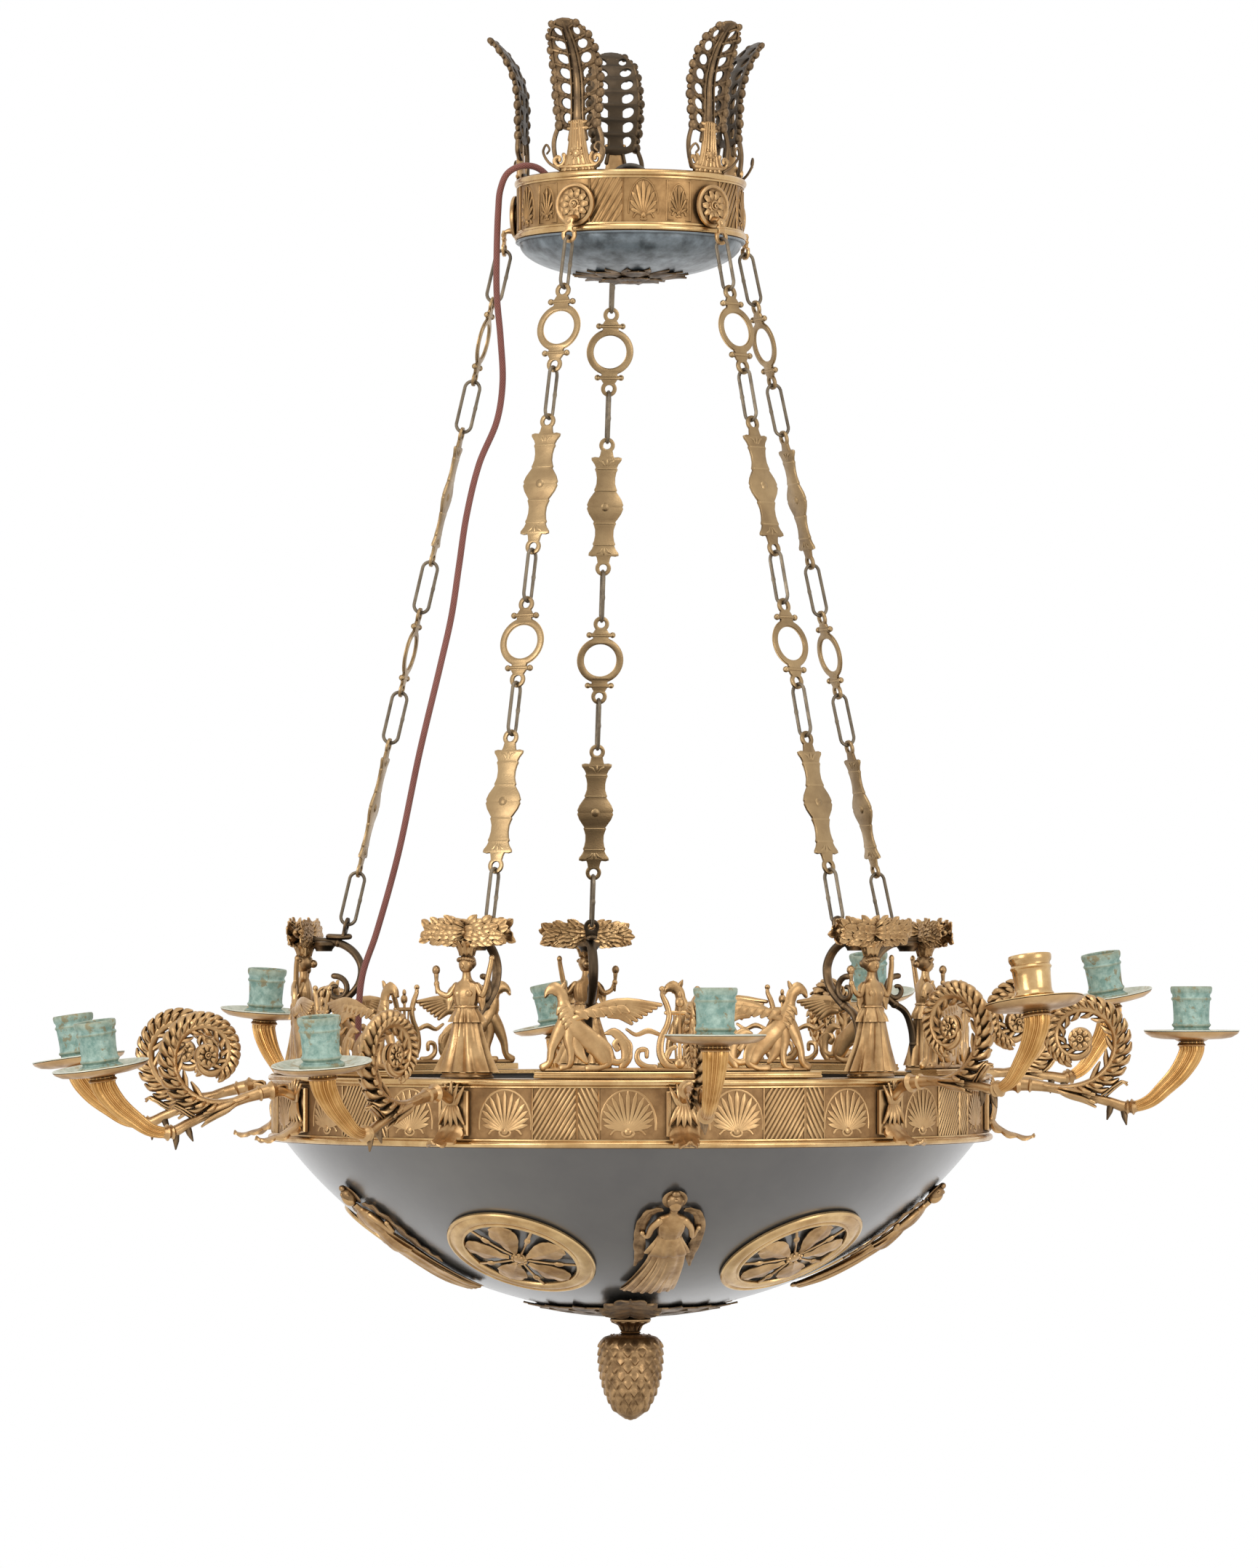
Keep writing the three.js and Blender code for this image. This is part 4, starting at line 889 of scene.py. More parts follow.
# %% Draw a frond's openwork
cell_stops = np.linspace(41, FROND_LENGTH - 13, 7)
cell_pitch = cell_stops[1] - cell_stops[0]
web_side = [(frond_width(s) - 2, s) for s in np.linspace(36, FROND_LENGTH - 1, 26)]
web = [(0, 30), (8, 31), (14.5, 33), *web_side, (0, FROND_LENGTH)]
cells = []
for side in (-1, 1):
    for s in cell_stops:
        outer = min(frond_width(s) - 6.5, 15)
        middle, half = (5 + outer) / 2, (outer - 5) / 2
        cells.append([(side * (middle + x), s + y + 0.3 * x)
                      for x, y in zip(*(np.array(circle(1.0, 18)).T * [[half], [4.0]]))])
frond_dark = [pierced(both_sides(web), cells, 2.6, 0.7)]
foot_gilt, foot_dark = {}, {}
for side in (-1, 1):
    edge = [(side * (frond_width(s) - 3.2), s, 0.5) for s in np.linspace(36, FROND_LENGTH - 3, 11)]
    frond_dark.append(rod(edge, 3, [1.8, 1.6, 1.4], 2.0, sides=8, side=X))
    cell_edge = [(side * 7.5, 24, 0.6), (side * 5.4, 36, 0.8), (side * 4.8, 70, 0.9),
                 (side * 3.6, FROND_LENGTH - 10, 0.6)]
    frond_dark.append(rod(cell_edge, 6, [1.6, 1.3, 1.0], 2.1, sides=8, side=X))
    for i, s in enumerate(np.linspace(36, FROND_LENGTH - 5, 15)):
        size = (4.1 if i % 2 == 0 else 2.7) - 0.07 * i
        frond_dark.append(ball(size, (side * (frond_width(s) - 1.8), s, 0.6), (1, 1.15, 0.85), 12, 8))
    for s in [*(cell_stops - cell_pitch / 2), cell_stops[-1] + cell_pitch / 2]:
        reach = frond_width(s) - 4
        rung = [(side * 3, s - 2.5, 0.8), (side * reach * 0.6, s, 1.2), (side * reach, s + 2.5, 0.8)]
        frond_dark.append(rod(rung, 3, [1.3, 1.6, 1.3], 1.5, sides=6, side=Y))
        frond_dark.append(ball(2.1, (side * 10, s + 0.2, 1.6), (1, 1, 0.9), sides=10, rows=7))
    foot_scroll = [(side * (17 + (6 - 5 * t) * math.cos(7.5 * t + 2.4)),
                    8.5 + (6 - 5 * t) * math.sin(7.5 * t + 2.4), 0.8 + t) for t in np.linspace(0, 1, 22)]
    foot_gilt[side] = [bar(foot_scroll, [1.9, 1.6, 1.1], 1.8, sides=8, side=Z)]
    foot_edge = [(side * 17.5, 3, 0), (side * 20.5, 12, 0.4), (side * 21.5, 22, 0.6), (side * 19.5, 30, 0.6),
                 (side * (frond_width(38) - 3.2), 38, 0.5)]
    tendril = [(side * 16, 1, 1.5), (side * 24, 7, 5), (side * 27, 15, 8), (side * 23, 20, 10),
               (side * 20, 16, 10.5), (side * 22.5, 13, 10)]
    foot_dark[side] = [rod(foot_edge, 4, [1.7, 1.9, 1.8], 2.0, sides=8, side=X),
                       rod(tendril, 5, [1.2, 1.0, 0.8], sides=8)]

# %% Draw the stalk, and make the palm fronds
stalk = smooth_line([(0, 0, 0.6), (0, 8, 1.2), (0, 20, 1.6), (0, 38, 1.8)], 6)
frond_gilt = [bar(stalk, [17, 12.5, 9.4, 7.6, 6.4], [2.2, 2.6, 2.4, 2.2], sides=14, side=X)]
for offset in (-0.72, -0.36, 0.0, 0.36, 0.72):
    flute = [(x + offset * w, s, z + 2.3 - abs(offset)) for (x, s, z), w in
             zip(stalk, spread_over([15.5, 11.4, 8.6, 6.8, 5.6], len(stalk)))]
    frond_gilt.append(bar(flute, [1.5, 1.1, 0.8], 0.9, sides=6, side=X))
for height, width in ((3.5, 17.5), (33, 8.4), (37.5, 7.2)):
    frond_gilt.append(bar([(-width, height, 1.0), (0, height - 0.8, 3.0), (width, height, 1.0)], 1.8, 1.6,
                          sides=8, side=Y))
rosette_buds = [ball(3.4, (0, 0, 0), (1, 1, 0.6), sides=14, rows=8)]
rosette_buds += [ball(1.6, (x, y, -0.2), sides=8, rows=5) for x, y in circle(5, 8)]
frond_gilt += bent(rosette_buds, moved(y=13, z=3.4))
midrib = [(0, 36, 1.2), (0, 60, 1.5), (0, 90, 1.2), (0, FROND_LENGTH - 3, 0.6)]
frond_dark.append(rod(midrib, 8, [3.9, 3.0, 2.2, 1.2], [2.4, 2.2, 1.8, 1.2], sides=10, side=X))
frond_tab = bar([(0, -13, -1.2), (0, 0, -1.2), (0, 6, 0)], 8.5, 1.2, sides=8, side=X)
frond_tab = bent([frond_tab], facing_out(FROND_BACK - 0.4, FROND_FOOT))
cut_edge = rod([(5, 18, 0.8), (13, 20, 0.8), (19.5, 25, 0.6), (frond_width(38) - 3.2, 38, 0.5)], 5, 1.8, 2.0,
               sides=8, side=X)
FROND_BY_FLEX = 4
for number, azimuth in enumerate(CHAIN_AZIMUTHS, 1):
    turn = around_axis(azimuth)
    gilt, dark = frond_gilt + foot_gilt[-1], frond_dark + foot_dark[-1]
    if number == FROND_BY_FLEX:
        dark = dark + [cut_edge]
    else:
        gilt, dark = gilt + foot_gilt[1], dark + foot_dark[1]
    piece(f"palm_frond_{number}", [(worn_gilt, bent(bent(gilt, frond_bend), turn)),
                                  (palm_bronze, bent(bent(dark, frond_bend), turn)),
                                  (forged_iron, bent(frond_tab, turn))], "coronet", [f"frond_{number}"])
print("frond length, mm:", round(FROND_LENGTH, 1))

# %% [markdown]
# ## Roundels and their hooks
# A rosette covers each screw that holds a strap to the band. The chain hangs in the eye at the strap's foot.

# %% Make the roundels
HOOK_RADIUS, HOOK_HEIGHT, ROUNDEL_HEIGHT = 102.0, -65.0, -37.0
LINK_EYE, LINK_EYE_RADIUS = 3.2, 6.4


def rosette_face(radius, petals, out):
    """Petals round a spiral centre, in (across, up, out)."""
    shapes = []
    for i in range(petals):
        angle = i * 2 * math.pi / petals
        line = [(r * math.cos(angle), r * math.sin(angle), out + lift)
                for r, lift in ((radius * 0.34, 0.6), (radius * 0.62, 1.7), (radius * 0.86, 0.9))]
        shapes.append(rod(line, 3, radius * np.array([0.08, 0.21, 0.13]), 1.0, sides=8,
                          side=(-math.sin(angle), math.cos(angle), 0)))
    spiral = [(radius * (0.3 - 0.24 * t) * math.cos(9 * t), radius * (0.3 - 0.24 * t) * math.sin(9 * t),
               out + 1.6 + 1.6 * t) for t in np.linspace(0, 1, 26)]
    shapes.append(bar(spiral, radius * 0.075, sides=8))
    return shapes


roundel = [turned([(0.01, -3), (10, -3), (10, 0.1), (16.4, 0.1), (17, 0.8), (16.8, 2.6), (15.6, 3.5),
                   (14.2, 3.2), (13.4, 2.2), (12.6, 1.8), (7, 2.2), (4, 3.4), (0.01, 3.8)], 48)]
roundel += rosette_face(13.4, 10, 1.6)
roundel.append(bar([(1.2 * math.cos(a), 1.2 * math.sin(a), 5.4) for a in np.linspace(0, 5, 8)], 0.8, sides=6))
roundel = bent(roundel, facing_out(91.2, ROUNDEL_HEIGHT))
strap_half = [(0, 17.5), (2.4, 17.5), (4.6, 15), (3.2, 12.6), (4.2, 10.4), (3.0, 8.4), (3.4, 6.6), (5.4, 5.6)]
eye_arc = arc(LINK_EYE_RADIUS, 0.5, -math.pi / 2, 10, LINK_EYE)
strap = pierced(both_sides(strap_half + eye_arc), [circle(LINK_EYE, 20, 0, LINK_EYE)])
strap_out = [strap, bar([(-3.4, 10.6, 0), (3.4, 10.6, 0)], 1.2, 1.7, sides=8, side=Y),
             ball(2.2, (0, 14, 1.2), (1, 1, 0.6), 10, 6)]
strap_out = bent(strap_out, facing_out(HOOK_RADIUS, HOOK_HEIGHT))
hook_neck = [(0, -91.5, -49), (0, -96, -47.8), (0, -100, -48.4), (0, -102.3, -50.5)]
strap_out.append(rod(hook_neck, 4, [4.4, 4.0, 3.4, 2.6], [3.2, 2.6, 1.8, 1.3], sides=10, side=X))
for number, azimuth in enumerate(CHAIN_AZIMUTHS, 1):
    piece(f"roundel_and_strap_{number}", [(worn_gilt, bent(roundel + strap_out, around_axis(azimuth)))],
          "coronet", [f"roundel_hook_{number}"])
print("roundel faces:", face_count(roundel + strap_out))

# %% [markdown]
# ## Chains
# A chain has wire links, ring links with a collar at each end, and long baluster plates. The flat links are
# cast and filed, and the wire links are bent round a former and brazed. A chain is one body in the frame, so
# it is one piece here, with its links drawn where they bear on each other.

# %% Draw the links
WIRE_PITCH, RING_PITCH, PLATE_PITCH = 38.5, 68.0, 109.0
LINK_WIRE, LINK_INNER, LINK_BITE = 1.4, 9.4, 0.7
CHAIN_ORDER = ["wire", "ring", "wire", "plate", "wire", "ring", "wire", "plate", "wire"]
LUG_RADIUS, LUG_SLACK, HOOK_SLACK = 229.0, 0.95, 0.3
pitches = {"wire": WIRE_PITCH, "ring": RING_PITCH, "plate": PLATE_PITCH}
CHAIN_LENGTH = sum(pitches[kind] for kind in CHAIN_ORDER)
CHAIN_SLOPE = math.asin((LUG_RADIUS - HOOK_RADIUS) / CHAIN_LENGTH)
LUG_HEIGHT = HOOK_HEIGHT - CHAIN_LENGTH * math.cos(CHAIN_SLOPE)


def wire_link(top, bottom):
    """A long link in the plane of y and z, between two heights of its inner ends, with its brazed joint."""
    radius = LINK_INNER / 2 + LINK_WIRE
    middle, half = (top + bottom) / 2, (top - bottom - LINK_INNER) / 2
    ends = [(0, radius * math.cos(a), middle + half * np.sign(math.sin(a)) + radius * math.sin(a))
            for a in (np.arange(24) + 0.5) * math.pi / 12]
    braze = bar([(0, radius, middle - 3), (0, radius, middle), (0, radius, middle + 3)], [1.3, 1.75, 1.3],
                sides=8)
    return [bar(ends, LINK_WIRE, sides=8, closed=True), braze]


def upright(shapes):
    """From (x, y, thickness) to the plane of x and z."""
    return bent(shapes, lambda points: np.stack([points[:, 0], -points[:, 2], points[:, 1]], 1))


def flat_link(pitch, quarter, *openings):
    """quarter is the right side from the middle up to the eye. The eye's arc and the mirror images follow."""
    eye = pitch / 2 - LINK_BITE - LINK_EYE
    upper = quarter + arc(LINK_EYE_RADIUS, -0.75, math.pi / 2, 12, eye)
    outline = both_sides([(x, -y) for x, y in upper[::-1] if y > 1e-6] + upper)
    return pierced(outline, [*openings, circle(LINK_EYE, 18, 0, eye), circle(LINK_EYE, 18, 0, -eye)])


def ring_link():
    """A ring with a collar and two beads at each end."""
    quarter = arc(18.5, 0, 1.2, 12)
    quarter += [(6.6, 18.2), (6.2, 19.2), (8.6, 19.6), (9.8, 20.9), (8.6, 22.4), (6.4, 22.8),
                (5.8, RING_PITCH / 2 - 10)]
    shapes = [flat_link(RING_PITCH, quarter, circle(14, 44))]
    for radius in (14.9, 17.6):
        shapes.append(bar([(x, y, 0) for x, y in circle(radius, 48)], 0.55, 1.55, sides=6, side=Z,
                          closed=True))
    for sign in (-1, 1):
        shapes.append(bar([(-8.2, sign * 21, 0), (8.2, sign * 21, 0)], 1.5, 1.9, sides=8, side=Y))
        for x in (-9.6, 9.6):
            shapes.append(ball(2.5, (x, sign * 21, 0), sides=12, rows=9))
    return upright(shapes)


def plate_link():
    """A long baluster with a six-sided boss, two necks and two crowns."""
    quarter = [(14.2, 0.01), (14.9, 1.6), (13.2, 6.0), (10.4, 10.2), (8.8, 12.4), (9.4, 13.8), (8.6, 15.6),
               (7.6, 19), (7.5, 24), (8.3, 28.4), (9.3, 30.6), (8.6, 32.2), (9.8, 35), (12.2, 38.2),
               (12.4, 40.2), (9.6, 41), (6.2, 40.6), (5.4, 42.4)]
    shapes = [flat_link(PLATE_PITCH, quarter)]
    hexagon = [(9.2 * math.cos(a), 8.0 * math.sin(a), 0.0) for a in np.arange(6) * math.pi / 3]
    shapes.append(bar(smooth_line(hexagon, 1, closed=True), 0.6, 1.75, sides=6, side=Z, closed=True))
    for face in (-1, 1):
        shapes.append(ball(3.6, (0, 0, face * 1.0), (1, 1, 0.36), 16, 8))
        for sign in (-1, 1):
            for x in (-1, 0, 1):
                crown = [(x * 1.6, sign * 34, face), (x * 3.4, sign * 37, face * 1.3),
                         (x * 6, sign * (39.4 - abs(x)), face)]
                shapes.append(bar(crown, [0.6, 1.1, 0.6], 0.4, sides=6, side=X))
            for y in (13.6, 31.2):
                shapes.append(bar([(-7.6, sign * y, face), (7.6, sign * y, face)], 0.7, 0.45, sides=6,
                                  side=Y))
    return upright(shapes)


# %% Make the chains
ring_shapes, plate_shapes = ring_link(), plate_link()
chain_flat, chain_wire = [], []
height = 0.0
for i, kind in enumerate(CHAIN_ORDER):
    lower = height - pitches[kind]
    if kind == "wire":
        top = HOOK_SLACK if i == 0 else height
        bottom = lower - LUG_SLACK if i == len(CHAIN_ORDER) - 1 else lower
        chain_wire += wire_link(top, bottom)
    else:
        shapes = ring_shapes if kind == "ring" else plate_shapes
        chain_flat += bent(shapes, moved(z=(height + lower) / 2))
    height = lower


def hang(shapes, azimuth):
    """From the chain's own place under its hook to its slope and azimuth."""
    slope = tilted("X", -math.degrees(CHAIN_SLOPE))
    turn = around_axis(azimuth)
    return bent(shapes, lambda points: turn(slope(points) + np.array([0, -HOOK_RADIUS, HOOK_HEIGHT])))


for i, azimuth in enumerate(CHAIN_AZIMUTHS):
    piece(f"chain_links_{i + 1}",
          [(chain_gilt, hang(chain_flat, azimuth)), (wire_iron, hang(chain_wire, azimuth))],
          f"chain_{i + 1}", [f"chain_{i + 1}"])
print("chain, mm:", CHAIN_LENGTH, "slope:", round(math.degrees(CHAIN_SLOPE), 2), "lug height:",
      round(LUG_HEIGHT, 1))

# %% [markdown]
# ## The bowl and its band
# The bowl was spun over a former: a cap of a sphere with an upright wall inside the band. The band is cast in
# one with a flange on which the figures stand. Its frieze repeats between the arms: a palmette, a panel of
# reeds that slant one way and then the other, and a palmette.

# %% Make the bowl
BAND_RADIUS, BAND_HEIGHT, BAND_BEAD, BAND_WALL, BAND_FLANGE = 286.0, 52.0, 3.5, 3.0, 34.0
LUG_ABOVE_RIM, SEAT_GAP = 120.5, 0.3
RIM_TOP = LUG_HEIGHT - LUG_ABOVE_RIM
BAND_BOTTOM = RIM_TOP - BAND_HEIGHT
BOWL_RIM, BOWL_DEPTH, BOWL_WALL, ROD_RADIUS = 273.0, 136.0, 2.0, 5.2
SPHERE = (BOWL_RIM ** 2 + BOWL_DEPTH ** 2) / (2 * BOWL_DEPTH)
SPHERE_CENTRE = BAND_BOTTOM - BOWL_DEPTH + SPHERE


def meridian(radius, rim, last, steps):
    """Points down a sphere's side, from one radius from the axis to another."""
    return [(radius * math.sin(a), SPHERE_CENTRE - radius * math.cos(a))
            for a in np.linspace(math.asin(rim / radius), math.asin(last / radius), steps)]


wall_outer = BAND_RADIUS - BAND_BEAD - BAND_WALL - SEAT_GAP
wall_top = RIM_TOP - BAND_WALL - SEAT_GAP
bowl_bore = ROD_RADIUS + SEAT_GAP
bowl_profile = [(wall_outer, wall_top), (wall_outer, BAND_BOTTOM + 8), (wall_outer - 1.5, BAND_BOTTOM + 4.5),
                *meridian(SPHERE, BOWL_RIM, bowl_bore, 44),
                *meridian(SPHERE - BOWL_WALL, BOWL_RIM - BOWL_WALL, bowl_bore, 44)[::-1],
                (wall_outer - BOWL_WALL - 1, BAND_BOTTOM + 5.5), (wall_outer - BOWL_WALL, wall_top)]
piece("bowl_spun", [(bowl_metal, [turned(bowl_profile, 192)])], "basin", ["bowl"], crease=50)
print("rim top, mm:", round(RIM_TOP, 1), "bowl sphere, mm:", round(SPHERE, 1))

# %% Make the bowl's band
band_beads, band_field = moulded_hoop(BAND_RADIUS, RIM_TOP, BAND_HEIGHT, BAND_BEAD, BAND_WALL, BAND_FLANGE,
                                      240)
BAND_FIELD_LOW, BAND_FIELD_HEIGHT = BAND_BOTTOM + EDGE_HEIGHT, BAND_HEIGHT - 2 * EDGE_HEIGHT
band_palmette = bent(palmette(BAND_FIELD_HEIGHT, 13, 0.98), stretched(z=0.55))
band_reeds = bent(reeds(34, BAND_FIELD_HEIGHT, 9, 0.62), moved(x=-8.5))
band_reeds += bent(mirrored(reeds(16, BAND_FIELD_HEIGHT, 4, 0.5)), moved(x=17.5))
band_plan = [(-9.6, band_palmette), (0, band_reeds), (9.6, band_palmette)]
band_relief = []
for i in range(10):
    band_relief += frieze(BAND_RADIUS - BAND_BEAD, BAND_FIELD_LOW, TENTH * (i + 0.5), band_plan)
piece("bowl_band_chased", [(burnished_gilt, band_beads), (matte_gilt, band_field), (worn_gilt, band_relief)],
      "basin", ["bowl_band"])
print("band ornament, shapes:", len(band_relief))

# %% [markdown]
# ## Medallions and the figures on the bowl
# Both were cast flat and bent to the bowl, and stand a little proud of it, so that each has a dark gap round
# it. A medallion is a broad ring with five petals cut through. Each figure between them is a dancer in a
# long dress with a veil in both hands, in the manner of its time and like nobody in particular. The design is
# drawn flat, (across, up, out), and one function lays it on the sphere.

# %% Lay a design on the bowl
def on_bowl(angle, azimuth=0.0):
    """The middle of the design goes to an angle, in degrees, from the bowl's lowest point."""
    tip, turn = tilted("X", -angle), around_axis(azimuth)

    def place(points):
        x, y, w = points.T
        reach = np.maximum(np.hypot(x, y), 1e-9)
        radius = SPHERE + w
        side = radius * np.sin(reach / SPHERE)
        laid = np.stack([x / reach * side, -y / reach * side, -radius * np.cos(reach / SPHERE)], 1)
        return turn(tip(laid) + np.array([0, 0, SPHERE_CENTRE]))
    return place


# %% Make the medallions
MEDALLION_CENTRE = 180.0
medallion_angle = math.degrees(math.asin(MEDALLION_CENTRE / SPHERE))
medallion_ring = turned([(59, 1.4), (59, 3.0), (58.2, 4.0), (56.8, 4.2), (55.8, 3.3), (54.8, 3.3),
                         (52.5, 4.1), (50, 4.3), (47.6, 3.5), (46.8, 3.3), (45.8, 4.2), (44.6, 4.0),
                         (44, 3.0), (44, 1.4)], 96)
petal_line = smooth_line([(0, 8, 3.2), (0, 16, 3.4), (0, 28, 3.8), (0, 38, 3.6), (0, 44.6, 2.6)], 4)
petal = leaf(petal_line, [2.2, 5.4, 11.0, 12.6, 9.5, 1.2], lobes=3, notch=0.16, cup=-0.10, rib=0.9, vein=0.5,
             thick=1.9, columns=13, sweep=0.12)
medallion_flower = [ball(7.0, (0, 0, 2.6), (1, 1, 0.42), 20, 9)]
bud = [rod([(0, 7, 2.8), (0, 20, 3.0), (0, 31, 3.0), (0, 44.5, 2.6)], 3, [1.0, 0.8, 1.6, 1.0], 1.1, sides=8,
           side=X),
       ball(2.9, (0, 31, 3.2), (0.9, 1.5, 0.6), 10, 7)]
for i in range(5):
    medallion_flower += bent([petal], tilted("Z", FIFTH * i)) + bent(bud, tilted("Z", TENTH + FIFTH * i))
medallion_flower += [ball(1.5, (x, y, 4.2), sides=8, rows=5) for x, y in circle(5.4, 8)]
for number, azimuth in enumerate(CHAIN_AZIMUTHS, 1):
    place = on_bowl(medallion_angle, azimuth)
    piece(f"medallion_pierced_{number}", [(burnished_gilt, bent([medallion_ring], place)),
                                          (worn_gilt, bent(medallion_flower, place))],
          "basin", [f"medallion_{number}"])
print("medallions, degrees from the bowl's lowest point:", round(medallion_angle, 1))

# %% Drape a body
def draped(rings, folds=9, columns=56, steps=6, twist=0.0, flat=False):
    """A robed body from rings of (height, half width, half depth, aside, out, depth of the folds)."""
    rows = smooth_line(rings, steps)
    angles = np.arange(columns) * 2 * math.pi / columns
    lowest, tallest = rows[0][0], rows[-1][0]
    grid = []
    for height, width, depth, aside, out, fold in rows:
        turn = twist * (height - lowest) / (tallest - lowest)
        wave = 0.6 * np.cos(folds * angles + turn) + 0.4 * np.cos((folds + 4) * angles - 1.7 * turn + 0.8)
        reach = 1 + fold * wave
        across, outward = np.cos(angles) * width * reach, np.sin(angles) * depth * reach
        if flat:
            outward = np.maximum(outward, -0.35 * depth)
        grid.append(np.stack([aside + across, np.full(columns, height), out + outward], 1))
    return skin(np.array(grid), round_columns=True, caps=True)


# %% Make the dancers on the bowl
DANCER_ANGLE = 34.8
DANCER_GAP = 1.6
dancer = [draped([(-71, 19.5, 2.2, -7, 2.0, 0.12), (-62, 18, 3.6, -5.5, 2.6, 0.14),
                  (-40, 15.5, 4.8, -2, 3.2, 0.13), (-15, 13.5, 5.4, 1, 3.6, 0.11),
                  (4, 12.4, 5.6, 1, 3.8, 0.07), (18, 8.8, 4.8, 0, 3.6, 0.05),
                  (30, 10.8, 5.4, 0, 3.8, 0.04), (40, 10.6, 4.2, 0, 3.4, 0.02),
                  (45, 3.6, 2.8, 0, 3.4, 0.0), (50, 3.0, 2.8, 0, 3.6, 0.0)],
                 folds=9, twist=2.2, flat=True)]
dancer.append(draped([(-4, 15.8, 4.6, 0.5, 4.2, 0.12), (1, 14.6, 5.8, 0.5, 4.4, 0.12),
                      (17, 9.4, 5.2, 0, 4.0, 0.05), (20, 8.7, 4.6, 0, 3.8, 0.03)],
                     folds=10, twist=1.0, flat=True))
for i in range(6):
    share = i / 5 - 0.5
    fold = [(15 * share, 4, 8.4 - 9 * share ** 2), (-1.5 + 23 * share, -24, 8.0 - 10 * share ** 2),
            (-5 + 29 * share, -50, 7.0 - 9 * share ** 2), (-7 + 33 * share, -70, 4.6 - 6 * share ** 2)]
    dancer.append(rod(fold, 4, [0.6, 1.2, 1.5, 1.9], [0.8, 1.3, 1.5, 1.3], sides=8, side=X))
dancer.append(ball(6.0, (0, 56.5, 4.2), (0.86, 1.12, 0.86), 24, 15))
dancer_hair = [ball(6.7, (0, 58.6, 3.0), (1.0, 1.0, 0.8), 20, 11),
               ball(3.0, (0, 66.0, 2.8), (1.1, 0.9, 0.8), 12, 8)]
for x in (-4.9, -2.6, 0, 2.6, 4.9):
    dancer_hair.append(ball(1.7, (x, 62.6 - abs(x) * 0.45, 6.2 - abs(x) * 0.35), sides=8, rows=6))
for side in (-1, 1):
    limb = [(side * 9.4, 38, 4.2), (side * 14.6, 30, 4.8), (side * 17.2, 18.5, 4.4),
            (side * 20, 23 + side * 3, 3.6)]
    dancer.append(rod(limb, 5, [3.1, 2.6, 2.1, 1.7], sides=10))
    dancer.append(ball(2.2, (side * 20.8, 24.6 + side * 3, 3.4), sides=10, rows=7))
    veil_line = smooth_line([(side * 8, 48, 1.6), (side * 17.5, 44, 1.9),
                             (side * 22.4, 28, 1.9), (side * 21.5, 8, 1.8),
                             (side * 19.5, -12, 1.6), (side * 21, -28, 1.2)], 5)
    dancer_hair.append(leaf(veil_line, [1.6, 3.2, 4.2, 4.4, 4.8, 3.4, 0.8], lobes=7, notch=0.12, cup=0.1,
                            rib=0.7, vein=0.8, thick=1.3, columns=11, sweep=0.2))
    dancer.append(ball(3.2, (side * 6 - 9, -72.6, 1.8), (0.8, 1.0, 0.6), 12, 7))
dancer_ground = [ball(9.6, (0, 57.5, 0.7), (1, 1.05, 0.12), 28, 7)]
dancer = bent(dancer, moved(z=DANCER_GAP))
dancer_dark = bent(dancer_hair + dancer_ground, moved(z=DANCER_GAP))
for i in range(5):
    place = on_bowl(DANCER_ANGLE, FIFTH * i)
    piece(f"dancer_on_bowl_{i + 1}",
          [(worn_gilt, bent(dancer, place)), (brown_bronze, bent(dancer_dark, place))],
          "basin")
print("dancer faces:", face_count(dancer + dancer_dark))

# %% [markdown]
# ## Leaf plate
# A cut plate of leaves spreads the nut's pull over the thin bowl. Its leaves lie in two rows on a disc, and
# follow the sphere a little below the bowl. A larger one is bent up against the bowl, as in the picture.

# %% Make the leaf plate
PLATE_LIFT = 1.7


def under_bowl(radius, drop=0.0):
    return SPHERE_CENTRE - math.sqrt((SPHERE + PLATE_LIFT + drop) ** 2 - radius ** 2)


def plate_leaves(tips, reach, width, drop, start=0.0):
    """Pointed leaves that lie under the bowl, their tips on a circle."""
    shapes = []
    for i in range(tips):
        line = smooth_line([(0, -r, under_bowl(r, drop)) for r in np.linspace(bowl_bore + 1, reach, 7)], 4)
        shape = leaf(line, [2.4, width * 0.6, width, width * 1.05, width * 0.8, 0.5], lobes=4, notch=0.14,
                     cup=-0.05, rib=-0.8, vein=-0.25, thick=1.2, columns=9, sweep=0.2)
        shapes += bent([shape], around_axis(start + i * 360 / tips))
    return shapes


plate_disc = turned([(bowl_bore, under_bowl(bowl_bore, 0.1)),
                     *[(r, under_bowl(r, 0.1)) for r in (30, 55, 76)],
                     *[(r, under_bowl(r, 1.2)) for r in (76, 55, 30)],
                     (bowl_bore, under_bowl(bowl_bore, 1.8))], 72)
BENT_LEAF_AZIMUTH = -8
bent_line = smooth_line([(0, -r, under_bowl(r, 1.0 + lift)) for r, lift in
                         ((40, 1), (60, 1.6), (78, 2.2), (94, 2.4), (108, 2.6), (120, 3.8))], 5)
bent_leaf = [leaf(bent_line, [10, 20, 25, 24, 17, 2], lobes=5, notch=0.3, cup=0.12, rib=-1.6, vein=-1.2,
                  thick=1.8, columns=17, sweep=0.4)]
plate = [plate_disc] + plate_leaves(18, 84.6, 13.0, 0.9) + plate_leaves(18, 72, 9.0, 1.5, 10)
plate += bent(bent_leaf, around_axis(BENT_LEAF_AZIMUTH))
piece("leaf_plate_cut", [(palm_bronze, plate)], "basin", ["bowl_leaf_plate"])

# %% [markdown]
# ## Finial
# A pine cone on a fluted neck closes the bowl. It is drawn down from its own top. The cone's scales run in
# two crossing spirals, so each row is turned by half a scale from the last, and each scale follows the core's
# outline, so that the scales narrow towards the tip.

